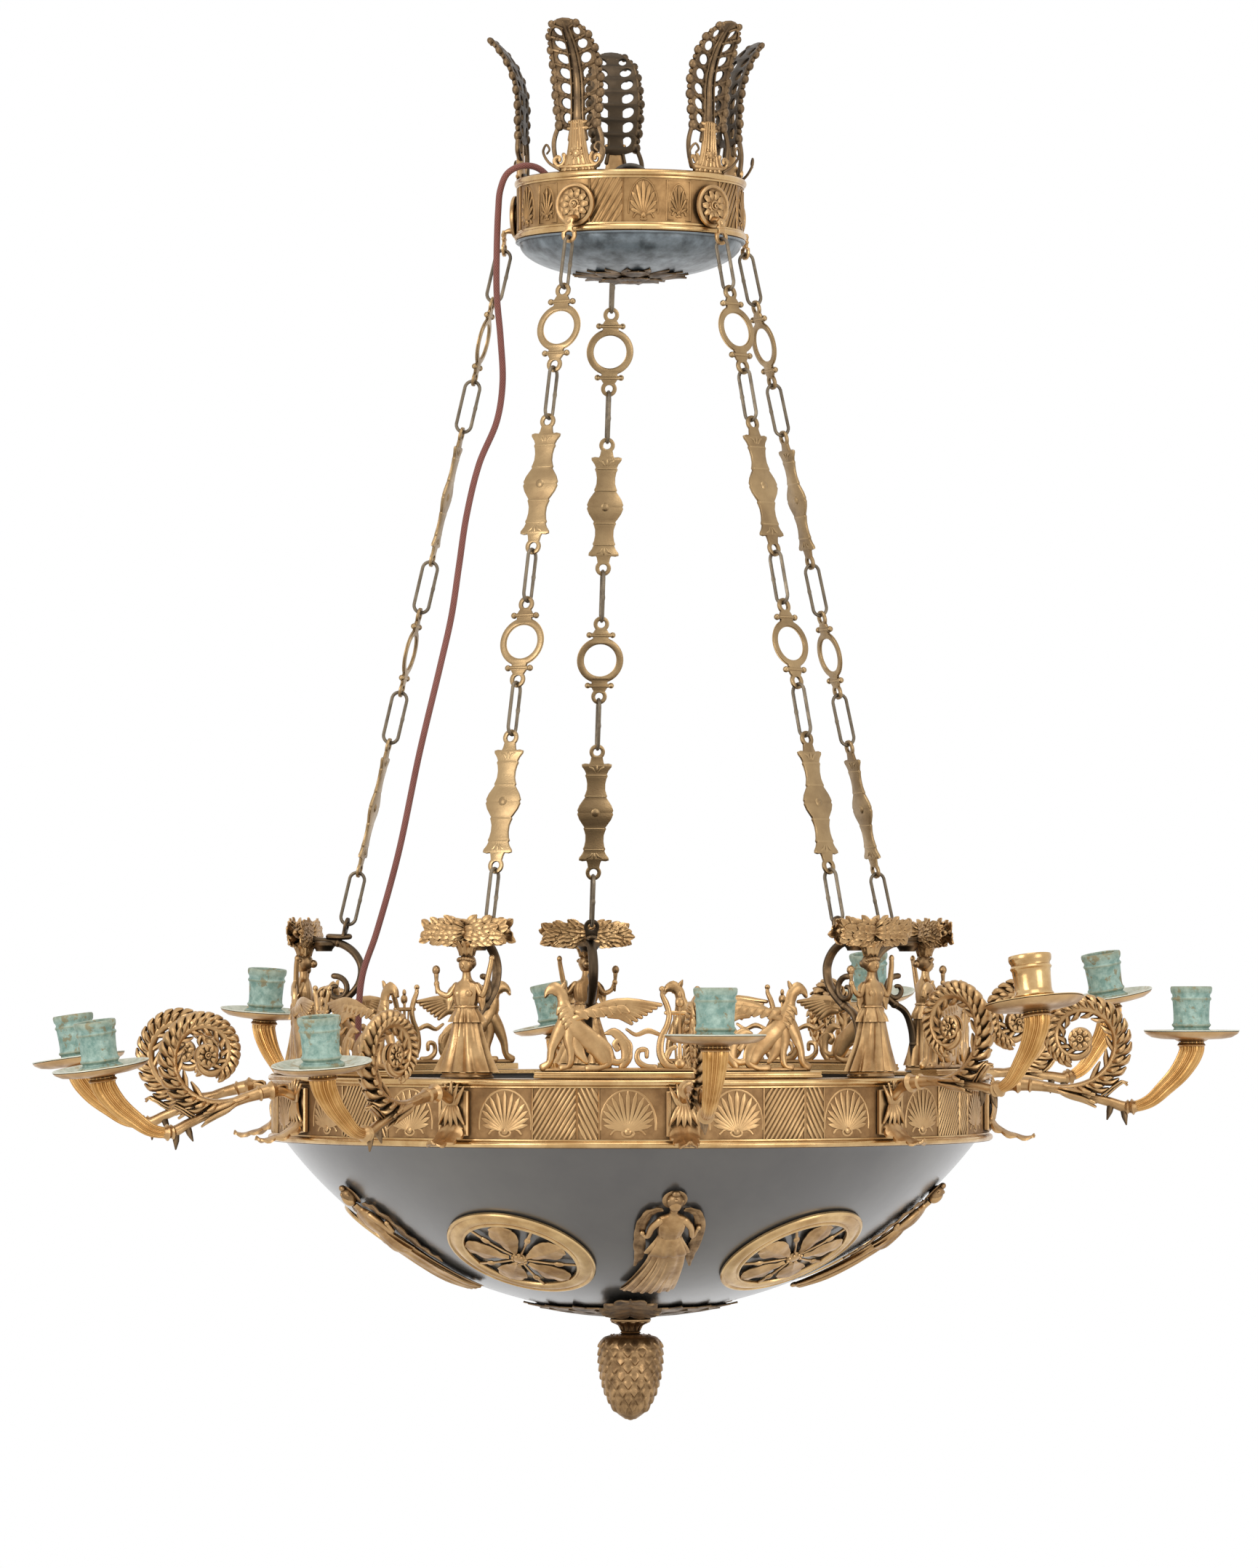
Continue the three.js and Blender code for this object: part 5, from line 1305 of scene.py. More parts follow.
# %% Make the finial
PLATE_THICKNESS, FINIAL_BORE = 2.5, 25.0
CONE_TOP, CONE_HEIGHT = -16.0, 65.0
finial_top = under_bowl(0) - PLATE_THICKNESS - SEAT_GAP
cone_outline = smooth_line([(17, -13.6), (22.6, -15.6), (25.4, -20.5), (26.1, -29.0),
                            (25.4, -40.0), (23.2, -52.0), (19.2, -63.5),
                            (13, -74.0), (5.5, -79.8)], 5)


def cone_radius(height):
    return float(np.interp(-height, -cone_outline[:, 1], cone_outline[:, 0]))


neck_profile = [(0.01, -FINIAL_BORE), (bowl_bore, -FINIAL_BORE), (bowl_bore, 0),
                (15.2, 0), (16.2, -1), (16.0, -2.4), (13.4, -3.4),
                (9.4, -5.4), (7.4, -8), (6.8, -10), (7.6, -11),
                (8.4, -11.8), (7.2, -12.4), (8.8, -13.2), (12.5, -13.1)]
cone_core = [(radius - 1.2, height) for radius, height in cone_outline[1:]]
finial = [turned([*neck_profile, *cone_core, (0.01, CONE_TOP - CONE_HEIGHT + 2.2)], 64)]
for i in range(12):
    flute_line = [(0, -(bowl_bore + 1.6) * 1.02, -9.6), (0, -9.5, -5.4), (0, -14.6, -3.0)]
    finial += bent([rod(flute_line, 3, [0.9, 1.7, 2.6], 0.9, sides=8, side=X)], around_axis(30 * i))


def cone_scale(middle, half_height, half_angle):
    """A diamond scale on the cone, raised in the middle and most at its lower tip."""
    steps = np.linspace(-1, 1, 7)
    a, b = np.meshgrid(steps, steps, indexing="ij")
    u, v = (a + b) / 2, (a - b) / 2
    heights = middle + v * half_height
    core = np.vectorize(cone_radius)(heights)
    lift = 2.3 * ((1 - a ** 4) * (1 - b ** 4)) ** 0.6 * (0.5 - 0.85 * v) - 1.5
    angles = u * half_angle
    sheets = []
    for radius in (core + lift, core - 2.6):
        radius = np.maximum(radius, 0.4)
        sheets.append(np.stack([radius * np.sin(angles), -radius * np.cos(angles), heights], 2))
    return skin(np.concatenate([sheets[0], sheets[1][:, ::-1]], 1), round_columns=True, caps=True)


scales, scale_rows, scales_round = [], 9, 14
scale_height = (CONE_HEIGHT - 6) / (scale_rows + 0.3)
for row in range(scale_rows):
    shape = cone_scale(-19.0 - scale_height * row, scale_height * 0.97, math.pi / scales_round * 0.95)
    for i in range(scales_round):
        scales += bent([shape], around_axis((i + 0.5 * (row % 2)) * 360 / scales_round))
scales.append(ball(4.2, (0, 0, CONE_TOP - CONE_HEIGHT + 4.4), (1, 1, 1.0), 16, 9))
piece("finial_pine_cone", [(brown_bronze, bent(finial + scales, moved(z=finial_top)))], "basin", ["finial"])
print("cone scales:", len(scales), "lowest, mm:", round(finial_top + CONE_TOP - CONE_HEIGHT, 1))

# %% [markdown]
# ## Tie rod
# Inside the bowl, a rod with a washer and a nut holds the plate and the finial, and its head is the gland
# for the flex. It is one turned shape, and the nut is a grid with six corners in each row.

# %% Make the tie rod
washer_seat = SPHERE_CENTRE - math.sqrt((SPHERE - BOWL_WALL) ** 2 - 12 ** 2) + SEAT_GAP
rod_bottom = finial_top - FINIAL_BORE + SEAT_GAP
gland_top = flex_route[-1][2] - SEAT_GAP
nut_corners = [(10 * math.cos(a), 10 * math.sin(a)) for a in (np.arange(6) + 0.5) * math.pi / 3]
nut_base = washer_seat + 3
nut_rows = [(0.2, 0), (0.94, 0), (1, 0.9), (1, 8.1), (0.94, 9), (0.2, 9)]
nut = skin(np.array([[(x * s, y * s, nut_base + z) for x, y in nut_corners] for s, z in nut_rows]),
           round_columns=True, caps=True)
tie_rod = turned([(0.01, rod_bottom), (ROD_RADIUS - 0.4, rod_bottom), (ROD_RADIUS, rod_bottom + 0.8),
                  (ROD_RADIUS, washer_seat), (12, washer_seat), (12, washer_seat + 2.4), (11.4, nut_base),
                  (5, nut_base), (5, gland_top - 10), (6.2, gland_top - 9.6), (7, gland_top - 8.4),
                  (7, gland_top - 4), (6.4, gland_top - 3), (7, gland_top - 2), (6.4, gland_top - 0.6),
                  (3.4, gland_top), (0.01, gland_top)], 32)
piece("tie_rod_and_gland", [(forged_iron, [tie_rod, nut])], "basin", ["tie_rod"], crease=30)
print("tie rod, mm:", round(gland_top - rod_bottom, 1))

# %% [markdown]
# ## The standing figures
# Five draped figures stand on the rim, each with a leafy basket and a spray of leaves on the head. They seem
# to carry the bowl, but what carries it is the dark scrolled bracket behind each, whose lug takes the chain.
# A robe is a stack of rings whose edge waves with the folds, and the folds turn a little on the way up, as
# cloth does round a hip.

# %% Draw a standing figure
FIGURE_RADIUS = BAND_RADIUS - 22
plinth = turned([(0.01, 0.2), (21.5, 0.2), (22, 1.2), (20.6, 2.6), (20.6, 3.4), (21.2, 4.2), (20.2, 5.2),
                 (0.01, 5.3)], 48)
figure = bent([plinth], on_end(flatten=0.64))
robe = [(5, 24.5, 13.6, 0, 0.4, 0.15), (12, 21.5, 12.6, 0, 0.5, 0.15), (26, 16.2, 10.6, 0.4, 0.7, 0.13),
        (42, 12.0, 8.8, 0.6, 0.8, 0.10), (52, 10.2, 7.8, 0.5, 0.8, 0.06), (58, 8.4, 6.6, 0, 0.6, 0.04),
        (64, 10.0, 7.2, 0, 0.8, 0.04), (71, 10.8, 7.2, 0, 1.0, 0.03), (77, 9.4, 5.6, 0, 0.5, 0.02),
        (81, 4.4, 4.2, 0, 0.4, 0.0), (84, 3.3, 3.4, 0, 0.6, 0.0), (88, 3.0, 3.2, 0, 0.8, 0.0)]
figure.append(draped(robe, folds=11, twist=1.6, columns=88, steps=7))
overfold = [(46, 14.0, 10.8, 0.6, 0.9, 0.15), (50, 12.6, 9.8, 0.5, 0.9, 0.14), (57, 9.2, 7.5, 0, 0.7, 0.06),
            (60, 8.8, 7.0, 0, 0.6, 0.03)]
figure.append(draped(overfold, folds=12, columns=88, steps=5, twist=0.6))
waist_cord = [(9.1 * x, 58.6, 0.7 + 7.3 * y) for x, y in circle(1.0, 28)]
figure.append(bar(waist_cord, 1.0, sides=8, closed=True))
figure += [ball(3.4, (x, 69.5, 6.0), (1.0, 1.0, 0.7), 14, 9) for x in (-4.6, 4.6)]
figure.append(ball(6.2, (0, 93.2, 1.4), (0.88, 1.16, 0.96), 28, 17))
figure.append(ball(1.25, (0, 92.2, 7.3), (0.8, 1.5, 0.9), 10, 7))
figure += [ball(1.1, (x, 93.9, 6.6), (1.5, 0.6, 0.5), 10, 6) for x in (-2.1, 2.1)]
figure.append(ball(1.5, (0, 89.7, 6.5), (1.3, 0.4, 0.5), 10, 6))
for side, hand, wrist in ((-1, (-24.5, 77.5, 3.5), (-22, 71, 4.5)), (1, (22, 98.5, 1), (21, 91, 1.8))):
    limb = [(side * 8.8, 76, 0.8), (side * 14.8, 68, 2.6), wrist, hand]
    figure.append(rod(limb, 5, [3.0, 2.5, 2.0, 1.8], sides=12))
    figure.append(ball(2.5, hand, (0.9, 1.25, 0.8), 12, 8))
    sleeve = smooth_line([(side * 8.0, 77, 0.6), (side * 12.0, 71, 2.0), (side * 13.8, 64, 2.6),
                          (side * 14.6, 56, 2.2)], 4)
    figure.append(leaf(sleeve, [3.2, 4.0, 3.6, 0.8], lobes=3, notch=0.1, cup=0.2, rib=0.5, vein=0.6,
                       thick=1.6, columns=9, sweep=0.1))
figure_dark = [ball(7.2, (0, 95.2, -0.6), (0.92, 1.02, 0.92), 24, 13),
               ball(3.6, (0, 94, -7.4), (1, 1, 0.9), 14, 9)]
for i in range(9):
    angle = math.radians(-78 + 19.5 * i)
    figure_dark.append(ball(1.75, (6.1 * math.sin(angle), 96.4 + 1.9 * math.cos(angle),
                                   1.2 + 5.6 * math.cos(angle) * 0.8),
                            sides=9, rows=7))
figure_dark += [rod([(-24.5, 70, 3.8), (-24.7, 78, 3.5), (-25, 86, 3.2)], 3, [0.9, 1.3, 1.9], sides=10),
                ball(3.1, (-25.1, 88.8, 3.2), (1, 1.3, 1), 12, 9)]
print("standing figure faces:", face_count(figure + figure_dark))

# %% [markdown]
# ### Basket and spray
# The basket is drawn from the top of the head, and the spray on it spreads to both sides. A wave in the
# spray's sums, called mood, keeps its leaves from being all alike.

# %% Draw the basket and the spray
HEAD_TOP, HEIGHT_SHARE = 93.5, 0.92
SPRAY_HALF, SPRAY_LEVEL = 37, 110.6
figure, figure_dark = bent(figure, stretched(y=HEIGHT_SHARE)), bent(figure_dark, stretched(y=HEIGHT_SHARE))
basket_cup = turned([(0.01, -2), (4.4, -2), (5.0, 0), (5.2, 2), (6.4, 5), (8.6, 8.5), (9.4, 10.5),
                     (0.01, 11)], 24)
basket = bent([basket_cup], on_end(flatten=0.8))
basket_line = smooth_line([(0, -1, 4.6), (0, 3, 5.8), (0, 7.5, 8.4), (0, 9.6, 11.2), (0, 8.6, 12.8)], 3)
basket_leaf = leaf(basket_line, [2.0, 3.0, 3.4, 2.6, 0.8], lobes=3, notch=0.25, cup=-0.1, rib=0.8, vein=0.5,
                   thick=1.2, columns=7)
for i in range(8):
    basket += bent([basket_leaf], tilted("Y", 45 * i + 22.5))
spray = bent(basket, moved(y=HEAD_TOP))


def spray_depth(x):
    """How thick the spray is at x, from 1 in the middle to 0 at its ends."""
    return math.sqrt(max(0.0, 1 - (x / SPRAY_HALF) ** 2))


core_line = [(x, SPRAY_LEVEL + 0.02 * abs(x), 0.0) for x in np.linspace(-31, 31, 13)]
core_depth = np.array([spray_depth(x) for x, _, _ in core_line])
spray.append(bar(core_line, 6.2 * core_depth, 5.2 * core_depth, sides=14, side=Z))
for side in (-1, 1):
    for k in range(7):
        for row, rise in enumerate((-0.95, -0.35, 0.3, 0.9)):
            for face in (-1, 1):
                mood = math.sin(2.3 * k + 1.9 * row + 0.9 * face + side)
                x = side * (1.0 + 4.4 * k + 0.8 * mood)
                depth = spray_depth(x)
                turn = math.radians(36) * rise + 0.16 * mood
                reach = 12.0 + 1.8 * mood - 0.3 * k
                ahead = np.array([side * math.cos(turn), math.sin(turn), 0.0])
                root = np.array([x, SPRAY_LEVEL + rise * 4.2 * depth, face * (5.6 - 2.2 * abs(rise)) * depth])
                lift = np.array([0.0, 0.0, face])
                line = smooth_line([root, root + ahead * reach * 0.35 + lift * 2.6,
                                    root + ahead * reach * 0.75 + lift * 2.4,
                                    root + ahead * reach + lift * (1.2 + 2.0 * mood)], 4)
                across = np.array([ahead[1], -ahead[0], 0.0]) * face
                spray.append(leaf(line, [1.3, 3.0, 3.3, 2.2, 0.5], across=across, lobes=0, cup=0.22, rib=0.8,
                                  thick=1.3, columns=7, sweep=0.2))
    spray.append(ball(2.6, (side * 33.5, SPRAY_LEVEL + 0.6, 0), (1.3, 0.9, 0.9), 12, 9))
for i in range(-4, 5):
    mood = math.sin(2.7 * i + 0.6)
    x, crown = i * 6.8, SPRAY_LEVEL + 3.2 + 4.8 * spray_depth(i * 6.8) + 1.2 * mood
    line = smooth_line([(x * 0.9, SPRAY_LEVEL + 2, mood), (x * 0.97, crown - 4, 1.4 * mood),
                        (x + 1.4 * mood, crown, 2.6 * mood)], 4)
    spray.append(leaf(line, [2.6, 3.2, 2.8, 0.7], lobes=0, cup=0.2, rib=0.9, thick=1.5, columns=7, sweep=0.2))
print("basket and spray faces:", face_count(spray))

# %% [markdown]
# ### Bracket and lug
# The bracket rises behind the figure, swings back and comes forward over the head to a small capital under
# the spray. The lug on it hangs in the chain's last link.

# %% Draw the bracket and make the figures
bracket = smooth_line([(0, 3, -8), (0, 16, -10), (0, 34, -12), (0, 48, -18), (0, 57, -32), (0, 70, -44),
                       (0, 84, -46.5), (0, 95, -41), (0, 102, -31), (0, 104, -20), (0, 105, -6)], 6)
bracket_shapes = [bar(bracket, [4.4, 3.8, 3.6, 4.0, 3.8, 4.0], [2.8, 2.6, 2.8, 3.2, 3.0], sides=12, side=X)]
for share, radius in ((0.14, 4.4), (0.38, 4.8), (0.84, 4.8)):
    middle = bracket[int(share * (len(bracket) - 1))]
    bracket_shapes.append(ball(radius, middle, (1, 0.7, 0.7), 14, 9))
bracket_curl = [(0, 66 + (11 - 8.5 * t) * math.sin(6.4 * t + 1.4),
                 -26 + (11 - 8.5 * t) * math.cos(6.4 * t + 1.4))
                for t in np.linspace(0, 1, 24)]
bracket_shapes.append(bar(bracket_curl, [2.4, 2.2, 1.8], sides=10))
capital = turned([(0.01, 96.5), (6.4, 96.5), (6.9, 98), (8.6, 100.2), (9.6, 101.2), (9.6, 103.2),
                  (7.6, 104.6), (0.01, 104.8)], 32)
bracket_shapes += bent([capital], on_end(out=-16))
lug_right = [(5, -12), (5.0, -9.4), *arc(LINK_EYE_RADIUS, -0.6, math.pi / 2, 12, -LINK_EYE)]
lug = pierced(both_sides(lug_right), [circle(LINK_EYE, 20, 0, -LINK_EYE)])
lug = bent(upright([lug]), tilted("X", -math.degrees(CHAIN_SLOPE)))
lug = bent(lug, moved(y=-LUG_RADIUS, z=LUG_HEIGHT))
lug_arm = bar([(0, 1.5 - LUG_RADIUS, LUG_HEIGHT - 12), (0, -6 - LUG_RADIUS, LUG_HEIGHT - 12.4),
               (0, -15 - LUG_RADIUS, LUG_HEIGHT - 12)], [4.4, 4.0, 4.4], 2.4, sides=10, side=X)
figure_place = facing_out(FIGURE_RADIUS, RIM_TOP + SEAT_GAP)
figure_parts = [(worn_gilt, bent(figure + spray, figure_place)),
                (brown_bronze, bent(figure_dark, figure_place)),
                (palm_bronze, bent(bracket_shapes, figure_place) + lug + [lug_arm])]
for number, azimuth in enumerate(CHAIN_AZIMUTHS, 1):
    piece(f"draped_figure_{number}",
          [(metal, bent(shapes, around_axis(azimuth))) for metal, shapes in figure_parts],
          "basin", [f"figure_{number}"])
print("bracket faces:", face_count(bracket_shapes))

# %% [markdown]
# ## Galleries
# Between the figures stands an open gallery: two seated griffins back to back, their wings joined by a lyre.
# It is a common device of its time. Each creature is a few bars that swell and taper, drawn flat in
# (along, up, out) on one side and mirrored, and then bent to the rim.

# %% Draw a griffin
GALLERY_RADIUS, GALLERY_HALF_ANGLE, STEP_HEIGHT, HEFT = BAND_RADIUS - 20, 23.0, 5.0, 1.22


def flat_bar(points, width, depth, sides=10):
    """A bar drawn in (along, up) or (along, up, out), its width in the drawing."""
    line = [(x, y, z[0] if z else 0.0) for x, y, *z in points]
    return rod(line, 4, depth, np.array(width) * HEFT, sides=sides, side=Z)


griffin = [
    flat_bar([(56, 12), (61, 22), (70, 31), (79, 39), (86, 49), (88.5, 58)],
             [4.4, 5.8, 6.4, 6.0, 6.4, 5.2, 3.6], 2.6),
    flat_bar([(88, 57), (90, 64), (95, 67.5), (100, 65.5), (102, 61.5)], [3.4, 3.6, 4.4, 2.4, 0.9], 2.4),
    flat_bar([(90, 66), (88, 70.5), (86.8, 73)], [2.0, 1.6, 0.6], 1.4),
    flat_bar([(66, 27), (57, 20), (53.5, 12.5), (60, 7.6), (70, 7.2)], [6.8, 6.0, 3.0, 2.4, 3.0], 2.3),
    flat_bar([(85, 45), (92, 34), (97, 22), (99, 12), (104, 7.4)], [5.2, 4.2, 2.8, 2.2, 3.2], 2.3),
    flat_bar([(82, 41), (84, 30), (82, 18), (84, 9), (90, 7.4)], [4.8, 3.8, 2.4, 2.0, 2.8], 2.1),
    flat_bar([(54, 14), (46, 12), (39, 17), (38, 26), (44, 30), (49, 26), (46.5, 22)],
             [2.4, 2.0, 1.7, 1.8, 2.2], 1.5),
]
griffin += [flat_bar([(44, 8), (40, 16), (42, 27), (50, 35), (56, 34)], [2.2, 3.6, 3.6, 2.8, 1.0], 1.5),
            flat_bar([(70, 12), (76, 20), (78, 30), (74, 38)], [1.4, 3.6, 4.6, 2.4], 1.4)]
for i in range(4):
    griffin.append(flat_bar([(86 - 1.4 * i, 55 - 4.2 * i, 1.8), (90.5 - 1.8 * i, 52.5 - 4 * i, 2.2),
                             (92.5 - 2.2 * i, 48.5 - 3.6 * i, 1.8)], [1.0, 1.8, 0.9], 1.2, 8))
for share in np.linspace(0, 1, 7):
    root = (80 - 26 * share, 45 + 5.5 * math.sin(math.pi * share * 0.8))
    tip = (14.5 + 22 * share, 55.5 - 14 * share)
    middle = ((root[0] + tip[0]) / 2, (root[1] + tip[1]) / 2 + 6.5 - 3.0 * share)
    griffin.append(flat_bar([(*root, 1.2), (*middle, 1.4), (*tip, 0.8)], [2.4, 3.3, 2.9, 1.3], 1.5, 10))
for i in range(6):
    x = 78 - 6.2 * i
    griffin.append(flat_bar([(x, 50.5 + 0.7 * i, 2.2), (x - 4.5, 49.0 + 0.7 * i, 2.8),
                             (x - 8.5, 45.5 + 0.9 * i, 2.2)],
                            [1.4, 2.6, 1.3], 1.2, 8))

# %% Draw the lyre and what stands between
lyre = [
    flat_bar([(1.5, 8), (9, 9.5), (14.5, 18), (14, 30), (9.5, 40), (8, 48), (10.5, 57), (13.2, 63),
              (13.4, 67)],
             [2.2, 2.6, 2.4, 2.2, 1.9, 1.8, 1.9, 1.5, 1.0], 1.9),
    ball(2.4, (13.4, 67.4, 0), (1, 1, 0.9), 12, 8),
    flat_bar([(3, 24), (8, 21), (9.5, 15), (6, 12)], [1.4, 1.7, 1.3, 0.8], 1.3, 8),
    flat_bar([(18, 8), (26, 9), (32, 14), (31, 21), (25.5, 21.5), (25, 16.5)], [2.2, 2.0, 1.7, 1.6, 1.3],
             1.6),
    flat_bar([(15, 33), (24, 36), (33, 33), (40, 37)], [1.3, 1.9, 1.4, 1.0], 1.5, 8),
]
middle_parts = [flat_bar([(0, 8), (0, 30), (0, 56)], [2.0, 1.0, 0.9], 1.3, 8),
                ball(4.4, (0, 11, 0.6), (1, 1, 0.5), 14, 9),
                bar([(-10.5, 49.5, 0), (0, 49.5, 0), (10.5, 49.5, 0)], 1.5, 1.7, sides=8, side=Z),
                ball(3.4, (0, 57.5, 0.4), (1, 1.2, 0.6), 14, 9),
                ball(2.2, (0, 63, 0.2), (0.8, 1.4, 0.7), 10, 7)]
for x in (-4.5, 4.5):
    middle_parts.append(flat_bar([(x * 0.6, 14), (x * 0.8, 30), (x, 49)], 0.7, 0.8, 6))
rail = [bar([(x, 6.6, 0.0) for x in np.linspace(-104.5, 104.5, 25)], 1.9, 1.7, sides=8, side=Z)]
half_side = griffin + lyre
gallery = half_side + mirrored(half_side) + middle_parts + rail

# %% Make the galleries
step_section = [(-8, 0.1), (15, 0.1), (15.6, 0.9), (15.6, 2.0), (14.4, 2.6), (14.4, 3.6), (15.0, 4.2),
                (14.4, STEP_HEIGHT), (-7.2, STEP_HEIGHT), (-8, 4.3)]
step_angles = np.linspace(-GALLERY_HALF_ANGLE, GALLERY_HALF_ANGLE, 41)
for i in range(5):
    on_rim = on_hoop(GALLERY_RADIUS, FIFTH * i, RIM_TOP + SEAT_GAP)
    step_grid = np.array([[from_polar(FIFTH * i + a, GALLERY_RADIUS + out, RIM_TOP + SEAT_GAP + up)
                           for out, up in step_section]
                          for a in step_angles])
    piece(f"griffin_gallery_{i + 1}", [(worn_gilt, bent(gallery, on_rim)),
                                       (burnished_gilt, [skin(step_grid, round_columns=True, caps=True)])],
          "basin", [f"gallery_{i + 1}"])
print("gallery faces:", face_count(gallery))

# %% [markdown]
# ## The arms
# Ten arms were cast in two halves and bolted through a root plate. Each is a leafy stem that ends in a ribbed
# horn, with a scroll of acanthus springing from its middle. Two centuries have bent them, so each arm has its
# own sag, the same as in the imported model: the shape is drawn straight and then turned about its root.

# %% Draw an arm's root
ARM_PATH = [(-2, -14), (4, -14), (16, -8), (42, -9), (70, -15), (94, -21), (108, -25), (124, -21), (138, -9),
            (150, 4), (158, 19), (158, 26)]
ARM_SAG = [0, -9, 0, -10, -10, 0, -5, 8, 9, 7.5]
ARM_TURN = [0, 0, 0, 0, 0, 0, 0, 0, 0, -7]
SOCKET_LEAN = [0, 0, 0, 0, 0, 11, 0, 0, 0, 0]
SCROLL_CENTRE = (71.0, 28.0)


def in_profile(points):
    """(out, up) or (out, up, aside) in the arm's own plane as points over azimuth 0."""
    return np.array([(p[2] if len(p) > 2 else 0.0, -BAND_RADIUS - p[0], RIM_TOP + p[1]) for p in points])


def profile_rod(points, steps, width, depth=None, **shape):
    """A rod drawn in the arm's own plane."""
    return rod(in_profile(points), steps, width, depth, **shape)


arm_line = smooth_line(in_profile(ARM_PATH), 8)
middle_of_arm = int(len(arm_line) * 0.56)
# Distance from the axis, half width and half height of the plate, from its back to its front.
plate_rows = [(283.2, 12.9, 16.9), (285.6, 12.9, 16.9), (286.6, 12.0, 16.0), (286.8, 9.6, 13.6),
              (286.2, 9.2, 13.2)]
plate_grid = [[(x, -y, RIM_TOP - BAND_HEIGHT / 2 + z) for x, z in
               ((-w, -h), (0, -h - 1.5), (w, -h), (w, h), (0, h + 1.5), (-w, h))] for y, w, h in plate_rows]
root_plate = [skin(np.array(plate_grid), round_columns=True, caps=True)]
for spread in (-7.2, -3.6, 0.0, 3.6, 7.2):
    for up, tip in ((1, -2.5), (-1, -38.0)):
        palm = [(spread * 0.3, -287.2, RIM_TOP - 20 - 2 * up),
                (spread * 0.9, -289.4, RIM_TOP - 20 + 8 * up - abs(spread) * 0.3 * up),
                (spread * 1.5, -288.0, RIM_TOP + tip - abs(spread) * 0.5 * up)]
        root_plate.append(rod(palm, 4, [1.2, 2.4, 1.9, 0.7], [1.0, 1.5, 1.1], sides=8, side=X))
root_leaf_line = smooth_line(in_profile([(-2, -26), (2, -35), (9, -42), (20, -46.5), (31, -48.5),
                                         (35, -46.5)]), 5)
arm_root = [*root_plate, leaf(root_leaf_line, [8, 11.6, 11.2, 8.6, 5.0, 1.0], lobes=5, notch=0.2, cup=0.3,
                              rib=1.4, vein=0.7, thick=2.0, sweep=0.3)]

# %% Draw the stem and the horn
arm_gilt = [bar(arm_line[:middle_of_arm + 1], [5.6, 4.2, 3.6, 5.4, 4.0, 3.4, 3.6, 4.0, 4.6], sides=16,
                side=X)]
horn = [bar(arm_line[middle_of_arm:], [4.2, 5.2, 6.4, 7.4, 8.6, 9.8, 10.6, 10.4], sides=72, side=X, flutes=18,
            flute_depth=0.16, rounding=0.1)]
for place, width, length in ((0.215, 7.4, 2.2), (0.245, 6.2, 1.5), (0.555, 6.0, 1.6), (0.575, 6.6, 1.4)):
    at = int(place * (len(arm_line) - 1))
    along = arm_line[at + 1] - arm_line[at - 1]
    along = along / np.linalg.norm(along)
    arm_gilt.append(bar([arm_line[at] - along * length, arm_line[at], arm_line[at] + along * length],
                        [width * 0.75, width, width * 0.75], sides=20, side=X))
horn_top = ARM_PATH[-1]
collar = turned([(0.01, -3.4), (10.2, -3.4), (11.2, -2.6), (10.4, -1.4), (9.6, -0.6), (9.8, -0.1),
                 (0.01, -0.1)], 40)
arm_gilt += bent([collar], moved(0, -BAND_RADIUS - horn_top[0], RIM_TOP + horn_top[1]))
for i, angle in enumerate(np.arange(6) * math.pi / 3):
    up, aside = math.cos(angle), math.sin(angle)
    sheath = [(46 + 3 * (i % 2), -9.5), (60, -12.5 + 3.4 * up, 5.4 * aside),
              (74, -15.8 + 4.6 * up, 6.4 * aside), (83, -18.5 + 6.4 * up, 8.4 * aside)]
    arm_gilt.append(profile_rod(sheath, 4, [1.4, 2.6, 2.4, 0.7], [1.4, 1.9, 1.2], sides=8))
thorns = []
for out, up, lean in ((95, -27, -3), (105, -31, 2)):
    thorn = [(out, up + 5), (out + lean * 0.4, up - 1.5), (out + lean, up - 7.5)]
    thorns.append(profile_rod(thorn, 5, [3.0, 2.5, 0.7], sides=10, side=X))
for reach, width in ((0.0, 4.6), (1.0, 3.4)):
    tongue = in_profile([(86 + 4 * reach, -17), (95 + 3 * reach, -10), (103 + 2 * reach, -4.5 - reach),
                         (108, -6 - 2 * reach)])
    arm_gilt.append(leaf(smooth_line(tongue, 4), [2.0, width, width * 0.8, 0.8], lobes=3, notch=0.18,
                         cup=0.25, rib=0.8, thick=1.5, columns=9))
print("stem and horn, shapes:", len(arm_gilt + horn + thorns))

# %% [markdown]
# ### The scroll
# An acanthus scroll springs from each arm: a spiral rib with lobes that overlap on its outside, small ones
# inside, and a rosette on each side of its eye. Each lobe's place is a share of the spiral, and its size
# follows from that share, so that the lobes shrink towards the eye.

# %% Draw the scroll
def scroll_reach(share):
    return 7 + 27 * (1 - share) ** 0.7 + 12 * math.exp(-share / 0.08)


def on_scroll(share, extra=0.0, aside=0.0):
    angle = math.radians(232 + 458 * share)
    reach = scroll_reach(share) + extra
    return (SCROLL_CENTRE[0] + reach * math.cos(angle), SCROLL_CENTRE[1] + reach * math.sin(angle), aside)


